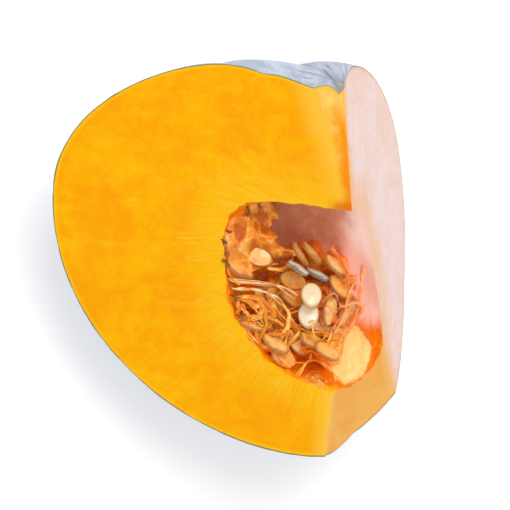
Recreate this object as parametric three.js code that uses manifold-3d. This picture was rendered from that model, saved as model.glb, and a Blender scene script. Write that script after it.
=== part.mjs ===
// A hand-cut quarter of a blue-grey winter pumpkin, lying on its skin with both cut faces up.
// Millimetres and degrees. The fruit is modelled upright about its own axis (+Z at the stem end,
// Z = 0 at the girth) and the finished pieces are then turned into the attitude in which they rest.
import * as THREE from "three";
import { mergeVertices } from "three/addons/utils/BufferGeometryUtils.js";
import Module from "manifold-3d";

const wasm = await Module();
wasm.setup();

const RADIANS = Math.PI / 180;

// The whole fruit: two half superellipses about the axis, a stem hollow, and lobes between grooves.
const fruit = {
  girthRadius: 150,
  shoulderHeight: 85.5,
  shoulderPower: 2.13,
  baseDepth: 130,
  basePower: 1.97,
  hollowDepth: 32,
  hollowSpread: 23,
  unevenness: 1.2,
};
// The grooves between the lobes run from the stem to the blossom end. Each has its own depth.
const groove = { spread: 8, sharpness: 1.3, shoulderAngle: 38, shoulderSpread: 22, fadeAngle: 16 };
const grooves = [
  { bearing: -158, depth: 8 },
  { bearing: -122, depth: 8 },
  { bearing: -86, depth: 9.5, bends: true },
  { bearing: -50, depth: 3.2 },
  { bearing: -14, depth: 3.2 },
  { bearing: 22, depth: 7 },
  { bearing: 58, depth: 8 },
  { bearing: 94, depth: 8 },
  { bearing: 130, depth: 8 },
  { bearing: 166, depth: 8 },
];
// The deepest groove bends at the shoulder towards where the stem stood, at the edge of the cuts.
const bend = { swing: -27, swingEnd: 26, swingStart: 42, bulge: 8, bulgeAngle: 46, bulgeSpread: 14 };

// The seed cavity: the same kind of round body, its centre line bent sideways towards the blossom end.
const cavity = {
  radius: 48,
  middle: -38,
  riseAbove: 47,
  roofPower: 4,
  dropBelow: 54,
  floorPower: 2.4,
  topCentre: new THREE.Vector2(2, -6),
  bendAtFloor: new THREE.Vector2(-28, -6),
  roughness: 1.1,
};

// The cuts. The front, side and under cuts meet at one corner in the mouth of the cavity. The bevel
// shaves the edge between the front and side cuts, and passes the corner at a small distance.
// Bearing and climb give the direction that each cut face looks in.
const corner = new THREE.Vector3(-26, -10.3, -6);
const cut = {
  front: { bearing: 78, climb: 8, passes: 0 },
  side: { bearing: 165, climb: 12.5, passes: 0 },
  under: { bearing: 140, climb: 2, passes: 0 },
  bevel: { bearing: 115.5, climb: 21, passes: 2.4 },
};

// A seed is a flat oval with a blunt tip. It lies in the nest, a heap against the back of the cavity.
const seed = { length: 17, width: 11.4, thickness: 4.2, tipLength: 2.2 };
const nest = { clearance: 0.35, lean: 21, aside: 2.6, drop: 2.6, setBack: 4.5 };
const pulp = {
  step: 17,
  strandRadius: 1.1,
  bedReach: 33,
  bedThickness: 30,
  membraneWidth: 21,
  membraneLength: 34,
  membraneThickness: 2.6,
};

// How the piece rests: the direction in the fruit that points down, and the depth of the flat spot.
const rest = { bearing: -72, dip: -30, flatDepth: 1.6 };

// Facets of the round shapes.
const mesh = {
  around: 96,
  down: 60,
  cavityAround: 40,
  cavityDown: 28,
  seedAround: 10,
  seedRings: 7,
  strandSides: 8,
  strandSteps: 4,
  lumpAround: 18,
  lumpDown: 12,
};

const colour = {
  flesh: "#fbb00f",
  seed: "#f3cf95",
  pulp: "#f08a1e",
  strand: "#f7b765",
};

function direction(bearing, climb) {
  return new THREE.Vector3(
    Math.cos(bearing * RADIANS) * Math.cos(climb * RADIANS),
    Math.sin(bearing * RADIANS) * Math.cos(climb * RADIANS),
    Math.sin(climb * RADIANS),
  );
}

// Distance from the centre of a half superellipse body to its surface, for a unit direction.
function reach(sine, cosine, radius, height, power) {
  return ((sine / radius) ** power + (Math.abs(cosine) / height) ** power) ** (-1 / power);
}

function bell(value, middle, spread) {
  return Math.exp(-(((value - middle) / spread) ** 2));
}

// How far the bending groove is from its own bearing, in degrees, at an angle from the stem end.
function bentBy(polar) {
  const swung = 1 - THREE.MathUtils.smoothstep(polar, bend.swingEnd, bend.swingStart);
  return bend.swing * swung + bend.bulge * bell(polar, bend.bulgeAngle, bend.bulgeSpread);
}

// How deep the grooves are at a bearing and an angle from the stem end, in degrees, on the girth.
function grooveDepth(bearing, polar) {
  return grooves.reduce((sum, { bearing: middle, depth, bends }) => {
    const line = bends ? middle + bentBy(polar) : middle;
    const away = Math.abs(((bearing - line + 540) % 360) - 180);
    return sum + depth * Math.exp(-((away / groove.spread) ** groove.sharpness));
  }, 0);
}

// Skin: the body of the fruit, less the hollow round the stem, less the grooves between the lobes.
function skinReach(unit) {
  const sine = Math.hypot(unit.x, unit.y);
  const polar = Math.atan2(sine, unit.z) / RADIANS;
  const bearing = Math.atan2(unit.y, unit.x);
  const upper = unit.z > 0;
  const body = reach(
    sine,
    unit.z,
    fruit.girthRadius,
    upper ? fruit.shoulderHeight : fruit.baseDepth,
    upper ? fruit.shoulderPower : fruit.basePower,
  );
  const hollow = fruit.hollowDepth * bell(polar, 0, fruit.hollowSpread);
  const grooveShare =
    Math.max(sine, bell(polar, groove.shoulderAngle, groove.shoulderSpread)) *
    Math.min(1, polar / groove.fadeAngle);
  const uneven =
    Math.sin(2 * bearing + 3 * unit.z) + 0.6 * Math.sin(3 * bearing - 4 * unit.z + 1);
  return (
    body -
    hollow -
    grooveDepth(bearing / RADIANS, polar) * grooveShare +
    fruit.unevenness * uneven * sine
  );
}

// A sphere's directions pushed out to a reach, as a solid.
function roundSolid(around, down, place) {
  const sphere = new THREE.SphereGeometry(1, around, down).rotateX(Math.PI / 2);
  const points = sphere.getAttribute("position");
  const point = new THREE.Vector3();
  for (let i = 0; i < points.count; i += 1) {
    point.fromBufferAttribute(points, i).normalize();
    place(point);
    points.setXYZ(i, point.x, point.y, point.z);
  }
  return solidOf(sphere);
}

function solidOf(geometry) {
  geometry.deleteAttribute("normal");
  geometry.deleteAttribute("uv");
  const merged = mergeVertices(geometry, 1e-4);
  return new wasm.Manifold(
    new wasm.Mesh({
      numProp: 3,
      vertProperties: merged.getAttribute("position").array,
      triVerts: new Uint32Array(merged.index.array),
    }),
  );
}

function wholeFruit() {
  return roundSolid(mesh.around, mesh.down, (point) => {
    point.multiplyScalar(skinReach(point));
  });
}

// The bend grows as the square of the depth below the cavity's roof.
function cavityCentre(height) {
  const roof = cavity.middle + cavity.riseAbove;
  const share = (roof - height) / (cavity.riseAbove + cavity.dropBelow);
  return cavity.topCentre.clone().addScaledVector(cavity.bendAtFloor, share * share);
}

// The cavity as a solid, smaller all round by a margin.
function hollowSpace(margin) {
  return roundSolid(mesh.cavityAround, mesh.cavityDown, (point) => {
    const sine = Math.hypot(point.x, point.y);
    const bearing = Math.atan2(point.y, point.x);
    const upper = point.z > 0;
    const body = reach(
      sine,
      point.z,
      cavity.radius,
      upper ? cavity.riseAbove : cavity.dropBelow,
      upper ? cavity.roofPower : cavity.floorPower,
    );
    const rough =
      Math.sin(5 * bearing + 4 * point.z) + 0.7 * Math.sin(9 * bearing - 6 * point.z + 2);
    point.multiplyScalar(body + cavity.roughness * rough * sine - margin);
    const centre = cavityCentre(point.z + cavity.middle);
    point.add(new THREE.Vector3(centre.x, centre.y, cavity.middle));
  });
}

// A block whose one face lies on a plane, on the side that the plane's normal looks to.
function knife(normal, point) {
  const size = 3 * fruit.girthRadius;
  const block = new THREE.BoxGeometry(size, size, size).translate(0, 0, size / 2);
  const turn = new THREE.Quaternion().setFromUnitVectors(new THREE.Vector3(0, 0, 1), normal);
  block.applyQuaternion(turn).translate(point.x, point.y, point.z);
  return solidOf(block);
}

function cutAway(solid, margin) {
  let left = solid;
  for (const { bearing, climb, passes } of Object.values(cut)) {
    const normal = direction(bearing, climb);
    const point = corner.clone().addScaledVector(normal, passes - margin);
    left = left.subtract(knife(normal, point));
  }
  return left;
}

// Everything in the cavity stays inside this space, a clearance away from the lining and the cuts.
const nestSpace = cutAway(hollowSpace(nest.clearance), nest.clearance);

// The nest's own axes: across to the side cut, up towards the stem, out towards the front cut.
const out = direction(90, nest.lean);
const across = new THREE.Vector3(-1, 0, 0);
const upward = new THREE.Vector3().crossVectors(out, across);
const nestAxes = new THREE.Matrix4().makeBasis(across, upward, out);

function nestOrigin() {
  const centre = cavityCentre(cavity.middle);
  return new THREE.Vector3(centre.x, centre.y, cavity.middle)
    .addScaledVector(across, -nest.aside)
    .addScaledVector(upward, -nest.drop)
    .addScaledVector(out, -nest.setBack);
}

// One cell is the room that a seed takes along its length. The seeds and the bed under them are placed
// in cells, so larger seeds spread the nest. Other pulp keeps to the cavity, in steps of its own.
const cell = Math.max(seed.length, 1.49 * seed.width, 4.04 * seed.thickness);
const toNest = new THREE.Matrix4().setPosition(nestOrigin()).multiply(nestAxes);

function inNest(place, step) {
  return new THREE.Vector3(...place).multiplyScalar(step).applyMatrix4(toNest);
}

// Seeds: place in cells (across, up, out); spin in the plane of the nest, lean of the blunt end
// towards the front, and roll about the seed's own length, in degrees.
const seeds = [
  { at: [0.23, 0.1, -0.64], spin: 0, lean: -30, roll: 8 },
  { at: [0.19, -0.54, -0.8], spin: 4, lean: -22, roll: -8 },
  { at: [0.86, -0.38, -0.82], spin: -8, lean: 6, roll: 48 },
  { at: [-0.36, 0.56, -1.22], spin: 70, lean: 14, roll: 0 },
  { at: [-0.2, 1.42, -0.96], spin: 38, lean: 18, roll: 76 },
  { at: [0.18, 1.48, -1.08], spin: 44, lean: 0, roll: 76 },
  { at: [-0.24, 0.95, -0.64], spin: 62, lean: 42, roll: 78 },
  { at: [0.42, 0.8, -1.22], spin: 62, lean: -30, roll: 74 },
  { at: [0.97, 1.1, -0.96], spin: 45, lean: 0, roll: 62 },
  { at: [1.16, 0.42, -1.0], spin: 40, lean: 0, roll: 44 },
  { at: [-1.58, -0.94, -0.8], spin: 72, lean: 0, roll: 62 },
  { at: [-0.82, -1.5, -0.6], spin: 58, lean: 0, roll: 56 },
  { at: [-0.52, -1.96, -0.95], spin: 62, lean: 26, roll: 10 },
  { at: [0.36, -1.36, -0.94], spin: 65, lean: 16, roll: 50 },
  { at: [0.84, -1.66, -0.6], spin: 62, lean: 20, roll: 50 },
  { at: [-2.1, 0.8, -0.5], spin: 63, lean: 0, roll: 60 },
  { at: [-1.52, 1.24, -0.78], spin: 76, lean: 0, roll: 10 },
  { at: [-0.46, -0.04, -1.1], spin: 50, lean: 0, roll: 70 },
  { at: [-0.12, -1.42, -1.18], spin: 30, lean: 0, roll: 26 },
  { at: [0.47, -0.78, -1.24], spin: 60, lean: 0, roll: 20 },
  { at: [-0.96, -0.14, -1.22], spin: 20, lean: 10, roll: 30 },
  { at: [-0.9, -0.98, -1.26], spin: 80, lean: 0, roll: 24 },
  { at: [1.42, -0.4, -1.12], spin: -30, lean: 0, roll: 56 },
  { at: [-1.4, -0.22, -1.16], spin: 8, lean: 0, roll: 40 },
];

// A seed about its own centre: its length along Y with the tip at -Y, its thickness along Z.
function seedGeometry(margin) {
  const shape = new THREE.SphereGeometry(1, mesh.seedAround, mesh.seedRings);
  const points = shape.getAttribute("position");
  for (let i = 0; i < points.count; i += 1) {
    const along = points.getY(i);
    const taper = along < 0 ? 1 - (seed.tipLength / seed.length) * along * along * 2 : 1;
    points.setXYZ(
      i,
      points.getX(i) * (seed.width / 2 + margin) * (2 - taper),
      along * (seed.length / 2 + margin),
      points.getZ(i) * (seed.thickness / 2 + margin),
    );
  }
  return shape;
}

function seedPose({ at, spin, lean, roll }) {
  const turn = new THREE.Matrix4()
    .makeRotationZ(spin * RADIANS)
    .multiply(new THREE.Matrix4().makeRotationX(lean * RADIANS))
    .multiply(new THREE.Matrix4().makeRotationY(roll * RADIANS));
  return new THREE.Matrix4().setPosition(inNest(at, cell)).multiply(nestAxes).multiply(turn);
}

function seedSolid(place, margin) {
  return solidOf(seedGeometry(margin).applyMatrix4(seedPose(place)));
}

function biggestBody(solid) {
  const bodies = solid.decompose();
  return bodies.reduce((most, body) => (body.volume() > most.volume() ? body : most));
}

const seedPockets = seeds.reduce(
  (pockets, place) => pockets.add(seedSolid(place, nest.clearance)),
  seedSolid(seeds[0], nest.clearance),
);

// Strands of pulp, each a cord through points given in steps of the pulp. A strand runs from the lining
// and stops clear of the seeds.
const strands = [
  [[-2.5, 0.4, -0.2], [-1.35, 0.42, -0.5], [-0.75, 0.34, -0.66], [-0.2, 0.06, -0.72]],
  [[-2.4, 0.12, -0.22], [-1.5, 0.18, -0.5], [-0.95, 0.04, -0.66], [-0.5, -0.34, -0.84]],
  [[-2.3, -0.16, -0.2], [-1.5, -0.1, -0.42], [-1.3, -0.42, -0.46], [-1.5, -0.7, -0.5], [-2.1, -0.9, -0.4]],
  [[-1.1, -0.16, -0.72], [-0.7, -0.56, -0.8], [-0.16, -1.0, -0.86]],
  [[-1.24, -0.34, -0.74], [-0.86, -0.8, -0.8], [-0.3, -1.16, -0.84]],
  [[-1.7, -0.66, -0.6], [-1.0, -0.72, -0.7], [-0.56, -0.98, -0.8]],
  [[1.7, 0.9, -1.2], [1.5, 0.3, -0.76], [1.36, -0.36, -0.72], [1.0, -1.1, -0.72]],
  [[1.9, 1.2, -1.3], [1.84, 0.4, -0.96], [1.72, -0.5, -0.9], [1.3, -1.4, -0.8]],
  [[0.8, 1.7, -1.3], [1.3, 1.0, -0.9], [1.36, 0.5, -0.66]],
  [[-2.1, -1.0, -0.3], [-1.5, -1.5, -0.6], [-0.8, -1.8, -0.76], [-0.3, -2.3, -0.6]],
  [[-0.1, -2.6, -0.5], [0.3, -2.0, -0.76], [0.9, -2.1, -0.7], [1.3, -2.6, -0.5]],
  [[-1.9, 2.3, -0.3], [-1.56, 1.9, -0.6], [-1.2, 1.5, -0.86]],
  [[-1.2, 0.9, -0.86], [-0.7, 0.9, -0.9], [-0.4, 1.24, -1.0]],
  [[-0.5, -0.5, -1.0], [-0.24, -0.9, -0.96], [0.0, -1.1, -0.94]],
];

// A line of points made longer at both ends.
function stretched(points, margin) {
  const last = points.length - 1;
  const lengthened = points.map((point) => point.clone());
  lengthened[0].addScaledVector(points[0].clone().sub(points[1]).normalize(), margin);
  lengthened[last].addScaledVector(points[last].clone().sub(points[last - 1]).normalize(), margin);
  return lengthened;
}

function strandSolid(places, margin) {
  const radius = pulp.strandRadius + margin;
  const section = new THREE.Shape(
    Array.from({ length: mesh.strandSides }, (_, i) => {
      const angle = (2 * Math.PI * i) / mesh.strandSides;
      return new THREE.Vector2(Math.cos(angle), Math.sin(angle)).multiplyScalar(radius);
    }),
  );
  const points = places.map((place) => inNest(place, pulp.step));
  const path = new THREE.CatmullRomCurve3(stretched(points, margin));
  const steps = mesh.strandSteps * (places.length - 1);
  return solidOf(new THREE.ExtrudeGeometry(section, { steps, extrudePath: path }));
}

// A flattened, wavy lump, given by its centre and its half sizes in the nest's axes.
function lump(centre, halfSizes, turn, wave) {
  const shape = new THREE.SphereGeometry(1, mesh.lumpAround, mesh.lumpDown);
  const points = shape.getAttribute("position");
  const point = new THREE.Vector3();
  for (let i = 0; i < points.count; i += 1) {
    point.fromBufferAttribute(points, i);
    const swell = 1 + wave * Math.sin(4 * point.x + 2) * Math.sin(5 * point.y);
    point.multiply(halfSizes).multiplyScalar(swell);
    points.setXYZ(i, point.x, point.y, point.z);
  }
  const pose = new THREE.Matrix4().setPosition(centre).multiply(nestAxes).multiply(turn);
  return solidOf(shape.applyMatrix4(pose));
}

function bedSolid() {
  const halfSizes = new THREE.Vector3(pulp.bedReach, pulp.bedReach, pulp.bedThickness / 2);
  return lump(inNest([-0.1, -0.4, -1.9], cell), halfSizes, new THREE.Matrix4(), 0.08);
}

function membraneSolid(margin) {
  const { membraneWidth, membraneLength, membraneThickness } = pulp;
  const halfSizes = new THREE.Vector3(membraneWidth, membraneLength, membraneThickness)
    .divideScalar(2)
    .addScalar(margin);
  const turn = new THREE.Matrix4()
    .makeRotationZ(12 * RADIANS)
    .multiply(new THREE.Matrix4().makeRotationY(34 * RADIANS));
  return lump(inNest([-1.5, 1.5, -0.44], pulp.step), halfSizes, turn, 0.16);
}

const materials = {};
for (const [name, value] of Object.entries(colour)) {
  materials[name] = new THREE.MeshStandardMaterial({ color: value, roughness: 0.55, metalness: 0 });
}

const resting = new THREE.Group();

function addPiece(name, solid, material) {
  const { vertProperties, triVerts } = solid.getMesh();
  const geometry = new THREE.BufferGeometry();
  geometry.setAttribute("position", new THREE.BufferAttribute(vertProperties, 3));
  geometry.setIndex(new THREE.BufferAttribute(triVerts, 1));
  geometry.computeVertexNormals();
  const piece = new THREE.Mesh(geometry, material);
  piece.name = name;
  resting.add(piece);
}

function numbered(name, index) {
  return `${name}_${String(index + 1).padStart(2, "0")}`;
}

// The wedge: fruit, less the cavity and any seed pockets in its lining, cut, and flattened underneath.
function wedgeSolid(down) {
  const cutFruit = cutAway(wholeFruit().subtract(hollowSpace(0)), 0);
  const points = cutFruit.getMesh().vertProperties;
  let lowest = 0;
  for (let i = 0; i < points.length; i += 3) {
    const reachDown = points[i] * down.x + points[i + 1] * down.y + points[i + 2] * down.z;
    lowest = Math.max(lowest, reachDown);
  }
  const flat = knife(down, down.clone().multiplyScalar(lowest - rest.flatDepth));
  return biggestBody(cutFruit.subtract(flat).subtract(seedPockets));
}

const down = direction(rest.bearing, rest.dip);
addPiece("wedge", wedgeSolid(down), materials.flesh);

seeds.forEach((place, index) => {
  addPiece(numbered("seed", index), seedSolid(place, 0), materials.seed);
});

// Soft pulp gives way to what was laid before it, with a clearance, and keeps its biggest body.
let laid = seedPockets;
function addPulp(name, makeSolid, material) {
  addPiece(name, biggestBody(makeSolid(0).intersect(nestSpace).subtract(laid)), material);
  laid = laid.add(makeSolid(nest.clearance));
}

strands.forEach((places, index) => {
  addPulp(numbered("strand", index), (margin) => strandSolid(places, margin), materials.strand);
});
addPulp("pulp_membrane", membraneSolid, materials.pulp);
addPulp("pulp_bed", bedSolid, materials.pulp);

// Turn the lowest direction to -Z, face the front cut to -Y, and stand the piece on Z = 0 with the
// middle of its box over the origin.
const standing = new THREE.Quaternion().setFromUnitVectors(down, new THREE.Vector3(0, 0, -1));
const front = direction(cut.front.bearing, cut.front.climb).applyQuaternion(standing);
const facing = new THREE.Quaternion().setFromAxisAngle(
  new THREE.Vector3(0, 0, 1),
  -Math.PI / 2 - Math.atan2(front.y, front.x),
);
resting.quaternion.copy(facing).multiply(standing);
resting.updateMatrixWorld(true);
const box = new THREE.Box3().setFromObject(resting, true);
resting.position.set(-(box.min.x + box.max.x) / 2, -(box.min.y + box.max.y) / 2, -box.min.z);

const pumpkin = new THREE.Group();
pumpkin.add(resting);

export default pumpkin;
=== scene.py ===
"""A hand-cut quarter of a blue-grey winter pumpkin, lying on its skin with its cut faces up.

Shapes are worked out in millimetres and degrees in the fruit's own frame: Z is its axis, with the stem
end up, and Z = 0 is the girth. They are turned into the resting attitude and scaled to metres as each
mesh is made, so every finished piece sits at the origin with its place in its mesh.
"""

import logging
import math
from collections.abc import Callable
from dataclasses import dataclass, field
from enum import Enum
from itertools import product

import bpy
import numpy as np
from mathutils import Matrix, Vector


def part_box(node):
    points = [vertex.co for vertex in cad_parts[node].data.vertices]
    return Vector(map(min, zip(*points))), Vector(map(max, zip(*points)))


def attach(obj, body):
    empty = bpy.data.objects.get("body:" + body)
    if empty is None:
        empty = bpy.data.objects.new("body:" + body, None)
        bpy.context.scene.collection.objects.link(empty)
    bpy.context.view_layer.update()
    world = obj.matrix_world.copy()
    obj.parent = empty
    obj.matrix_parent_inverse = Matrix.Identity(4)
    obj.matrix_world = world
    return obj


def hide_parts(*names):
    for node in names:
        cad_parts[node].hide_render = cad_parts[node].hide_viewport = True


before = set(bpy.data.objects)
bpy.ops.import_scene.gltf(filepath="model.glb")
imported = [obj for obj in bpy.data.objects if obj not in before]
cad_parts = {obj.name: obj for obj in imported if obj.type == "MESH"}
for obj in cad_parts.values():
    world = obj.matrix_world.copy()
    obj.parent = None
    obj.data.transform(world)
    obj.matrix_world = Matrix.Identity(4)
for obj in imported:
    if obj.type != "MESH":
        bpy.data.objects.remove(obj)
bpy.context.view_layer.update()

log = logging.getLogger("pumpkin")

MM = 0.001
BODY = "root"

HALVINGS = 30
BEYOND_SKIN = 260.0
BEYOND_LINING = 160.0
WELD_DECIMALS = 4
SMOOTH = 180.0

# A lattice corner's number comes from its whole coordinates times these, mixed by shifts and products.
AXIS_PRIMES = (73856093, 19349663, 83492791)
SEED_PRIME = 2654435761
MIXERS = (15731, 789221, 1376312589)
LOW_BITS = 0x7FFFFFFF

Array = np.ndarray
Colour = tuple[float, float, float]
Stretch = tuple[float, float, float]
Span = tuple[float, float]
Pose = tuple[Array, Array, Array]
Piece = bpy.types.Object
Material = bpy.types.Material
Socket = bpy.types.NodeSocket
Inputs = dict[str | int, object]


# ---------------------------------------------------------------- numbers and directions


def direction(bearing: float, climb: float) -> Array:
    """Unit vector at a bearing round the axis and a climb above the girth plane.

    Args:
        bearing: Degrees from +X towards +Y.
        climb: Degrees above the girth plane.

    Returns:
        (cos b cos c, sin b cos c, sin c).
    """
    b, c = math.radians(bearing), math.radians(climb)
    return np.array([math.cos(b) * math.cos(c), math.sin(b) * math.cos(c), math.sin(c)])


def unit(vectors: Array) -> Array:
    """Vectors divided by their own lengths."""
    return vectors / np.maximum(np.linalg.norm(vectors, axis=-1, keepdims=True), 1e-12)


def bell(value: Array, middle: float, spread: float) -> Array:
    """exp(-((value - middle) / spread) squared)."""
    return np.exp(-(((value - middle) / spread) ** 2))


def ease(value: Array, low: float, high: float) -> Array:
    """0 below low, 1 above high, and 3t^2 - 2t^3 between them."""
    t = np.clip((value - low) / (high - low), 0.0, 1.0)
    return t * t * (3.0 - 2.0 * t)


def noise(points: Array, size: float, seed: int) -> Array:
    """Smooth noise from -1 to 1.

    Each corner of a cubic lattice of the given size has a number hashed from its place, and the eight
    round a point are blended with the weights of a cubic ease.

    Args:
        points: Places, with x, y and z on the last axis.
        size: Edge of a lattice cell, in the units of the points.
        seed: Which noise.

    Returns:
        One value for each point.
    """
    scaled = points / size
    cell = np.floor(scaled).astype(np.int64)
    part = scaled - cell
    part = part * part * (3.0 - 2.0 * part)
    total = np.zeros(points.shape[:-1])
    for corner in product((0, 1), repeat=3):
        at = cell + np.array(corner)
        x, y, z = (at[..., axis] * prime for axis, prime in enumerate(AXIS_PRIMES))
        mixed = x ^ y ^ z ^ seed * SEED_PRIME
        mixed = (mixed ^ (mixed >> 13)) & LOW_BITS
        factor = (mixed * mixed * MIXERS[0] + MIXERS[1]) & LOW_BITS
        mixed = (mixed * factor + MIXERS[2]) & LOW_BITS
        weight = np.prod(np.where(np.array(corner) == 1, part, 1.0 - part), axis=-1)
        total += weight * (1.0 - mixed / float(LOW_BITS >> 1))
    return total


def fractal(points: Array, size: float, seed: int, octaves: int = 3) -> Array:
    """Noise added to itself at half the size and half the height, octaves times."""
    return sum(noise(points, size / 2**k, seed + k) / 2**k for k in range(octaves))


def ridges(points: Array, size: float, seed: int) -> Array:
    """Sharp crests where noise crosses zero: (1 - |noise|) squared, from 0 to 1."""
    return (1.0 - np.abs(noise(points, size, seed))) ** 2


def wander(points: Array, size: float, seed: int) -> Array:
    """Three noises as one vector for each point."""
    return np.stack([noise(points, size, seed + k) for k in range(3)], axis=-1)


def rounded_ends(along: Array, power: float) -> Array:
    """sqrt(1 - |2 t - 1| ^ power): near 1 along a strand, and nothing at its two ends."""
    close = np.sqrt(np.clip(1 - np.abs(2 * along - 1) ** power, 0, 1))
    close[0] = close[-1] = 0.0
    return close


def two_halves(cosine: Array, sine: Array, radius: float, above: Span, below: Span) -> Array:
    """Reach of two half superellipses: ((sine / radius)^p + (|cosine| / height)^p)^(-1/p).

    Args:
        cosine: Cosine of the angle from the axis.
        sine: Its sine.
        radius: Reach square to the axis.
        above: Height and power where the cosine is above nothing.
        below: Height and power where it isn't.

    Returns:
        One distance for each angle.
    """
    height = np.where(cosine > 0, above[0], below[0])
    power = np.where(cosine > 0, above[1], below[1])
    return ((sine / radius) ** power + (np.abs(cosine) / height) ** power) ** (-1 / power)


# ---------------------------------------------------------------- the fruit


@dataclass(frozen=True)
class Groove:
    """One groove between two lobes: its bearing, its depth on the girth, and whether it bends."""

    bearing: float
    depth: float
    bends: bool = False


@dataclass(frozen=True)
class Skin:
    """The outside: two half superellipses, a hollow round the stem, and lobes between grooves."""

    girth_radius: float = 150.0
    shoulder_height: float = 85.5
    shoulder_power: float = 2.13
    base_depth: float = 130.0
    base_power: float = 1.97
    hollow_depth: float = 32.0
    hollow_spread: float = 23.0
    unevenness: float = 1.2
    groove_spread: float = 8.0
    groove_sharpness: float = 1.3
    shoulder_angle: float = 38.0
    shoulder_spread: float = 22.0
    fade_angle: float = 16.0
    grooves: tuple[Groove, ...] = (
        Groove(-158, 8),
        Groove(-122, 8),
        Groove(-86, 9.5, True),
        Groove(-50, 3.2),
        Groove(-14, 3.2),
        Groove(22, 7),
        Groove(58, 8),
        Groove(94, 8),
        Groove(130, 8),
        Groove(166, 8),
    )
    swing: float = -27.0
    swing_angles: Span = (26.0, 42.0)
    bulge: float = 8.0
    bulge_angle: float = 46.0
    bulge_spread: float = 14.0

    def groove_depth(self, bearing: Array, polar: Array) -> Array:
        """Sum over the grooves of depth * exp(-(|degrees away| / spread) ^ sharpness).

        The deepest groove bends at the shoulder, towards where the stem stood.

        Args:
            bearing: Degrees round the axis.
            polar: Degrees from the stem end.

        Returns:
            One depth in millimetres for each place.
        """
        bent = self.swing * (1 - ease(polar, *self.swing_angles))
        bent = bent + self.bulge * bell(polar, self.bulge_angle, self.bulge_spread)
        total = np.zeros_like(bearing)
        for groove in self.grooves:
            line = groove.bearing + bent * groove.bends
            away = np.abs((bearing - line + 540.0) % 360.0 - 180.0)
            total += groove.depth * np.exp(-((away / self.groove_spread) ** self.groove_sharpness))
        return total

    def reach(self, units: Array) -> Array:
        """Distance from the fruit's centre to the skin.

        It is two half superellipses, one above the girth and one below, less the stem hollow, less the
        grooves, plus a slow unevenness.

        Args:
            units: Unit vectors from the centre.

        Returns:
            One distance in millimetres for each vector.
        """
        cosine = np.clip(units[..., 2], -1.0, 1.0)
        sine = np.sqrt(np.maximum(0.0, 1.0 - cosine * cosine))
        polar = np.degrees(np.arccos(cosine))
        around = np.arctan2(units[..., 1], units[..., 0])
        above = (self.shoulder_height, self.shoulder_power)
        below = (self.base_depth, self.base_power)
        body = two_halves(cosine, sine, self.girth_radius, above, below)
        share = np.maximum(sine, bell(polar, self.shoulder_angle, self.shoulder_spread))
        share *= np.clip(polar / self.fade_angle, 0.0, 1.0)
        uneven = np.sin(2 * around + 3 * cosine) + 0.6 * np.sin(3 * around - 4 * cosine + 1)
        body -= self.hollow_depth * bell(polar, 0.0, self.hollow_spread)
        body -= self.groove_depth(np.degrees(around), polar) * share
        return body + self.unevenness * uneven * sine

    def depth(self, points: Array) -> Array:
        """How far each point is under the skin, along its line from the centre."""
        return self.reach(unit(points)) - np.linalg.norm(points, axis=-1)


@dataclass(frozen=True)
class Hollow:
    """The seed cavity: a round body whose centre line bends sideways towards the blossom end."""

    radius: float = 48.0
    middle: float = -38.0
    rise_above: float = 47.0
    roof_power: float = 4.0
    drop_below: float = 54.0
    floor_power: float = 2.4
    top_centre: Span = (2.0, -6.0)
    bend_at_floor: Span = (-28.0, -6.0)
    roughness: float = 1.1

    def centre(self, height: Array) -> Array:
        """Centre of the cavity, whose bend grows as the square of the depth below the roof.

        Args:
            height: Heights above the girth.

        Returns:
            The centre's x and y for each height.
        """
        share = (self.middle + self.rise_above - height) / (self.rise_above + self.drop_below)
        bend = np.asarray(share)[..., None] ** 2 * np.array(self.bend_at_floor)
        return np.array(self.top_centre) + bend

    def depth(self, points: Array) -> Array:
        """How far each point is outside the cavity's lining; inside the cavity it is negative.

        A point is taken from the bent centre line back to a straight one, and its distance from the
        middle is compared with the reach of two half superellipses, roughened by two waves.

        Args:
            points: Places in the fruit.

        Returns:
            One distance in millimetres for each point.
        """
        moved = points.copy()
        moved[..., :2] -= self.centre(points[..., 2])
        moved[..., 2] -= self.middle
        units = unit(moved)
        cosine = units[..., 2]
        sine = np.sqrt(np.maximum(0.0, 1.0 - cosine * cosine))
        around = np.arctan2(units[..., 1], units[..., 0])
        above = (self.rise_above, self.roof_power)
        below = (self.drop_below, self.floor_power)
        body = two_halves(cosine, sine, self.radius, above, below)
        rough = np.sin(5 * around + 4 * cosine) + 0.7 * np.sin(9 * around - 6 * cosine + 2)
        return np.linalg.norm(moved, axis=-1) - (body + self.roughness * rough * sine)


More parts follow.
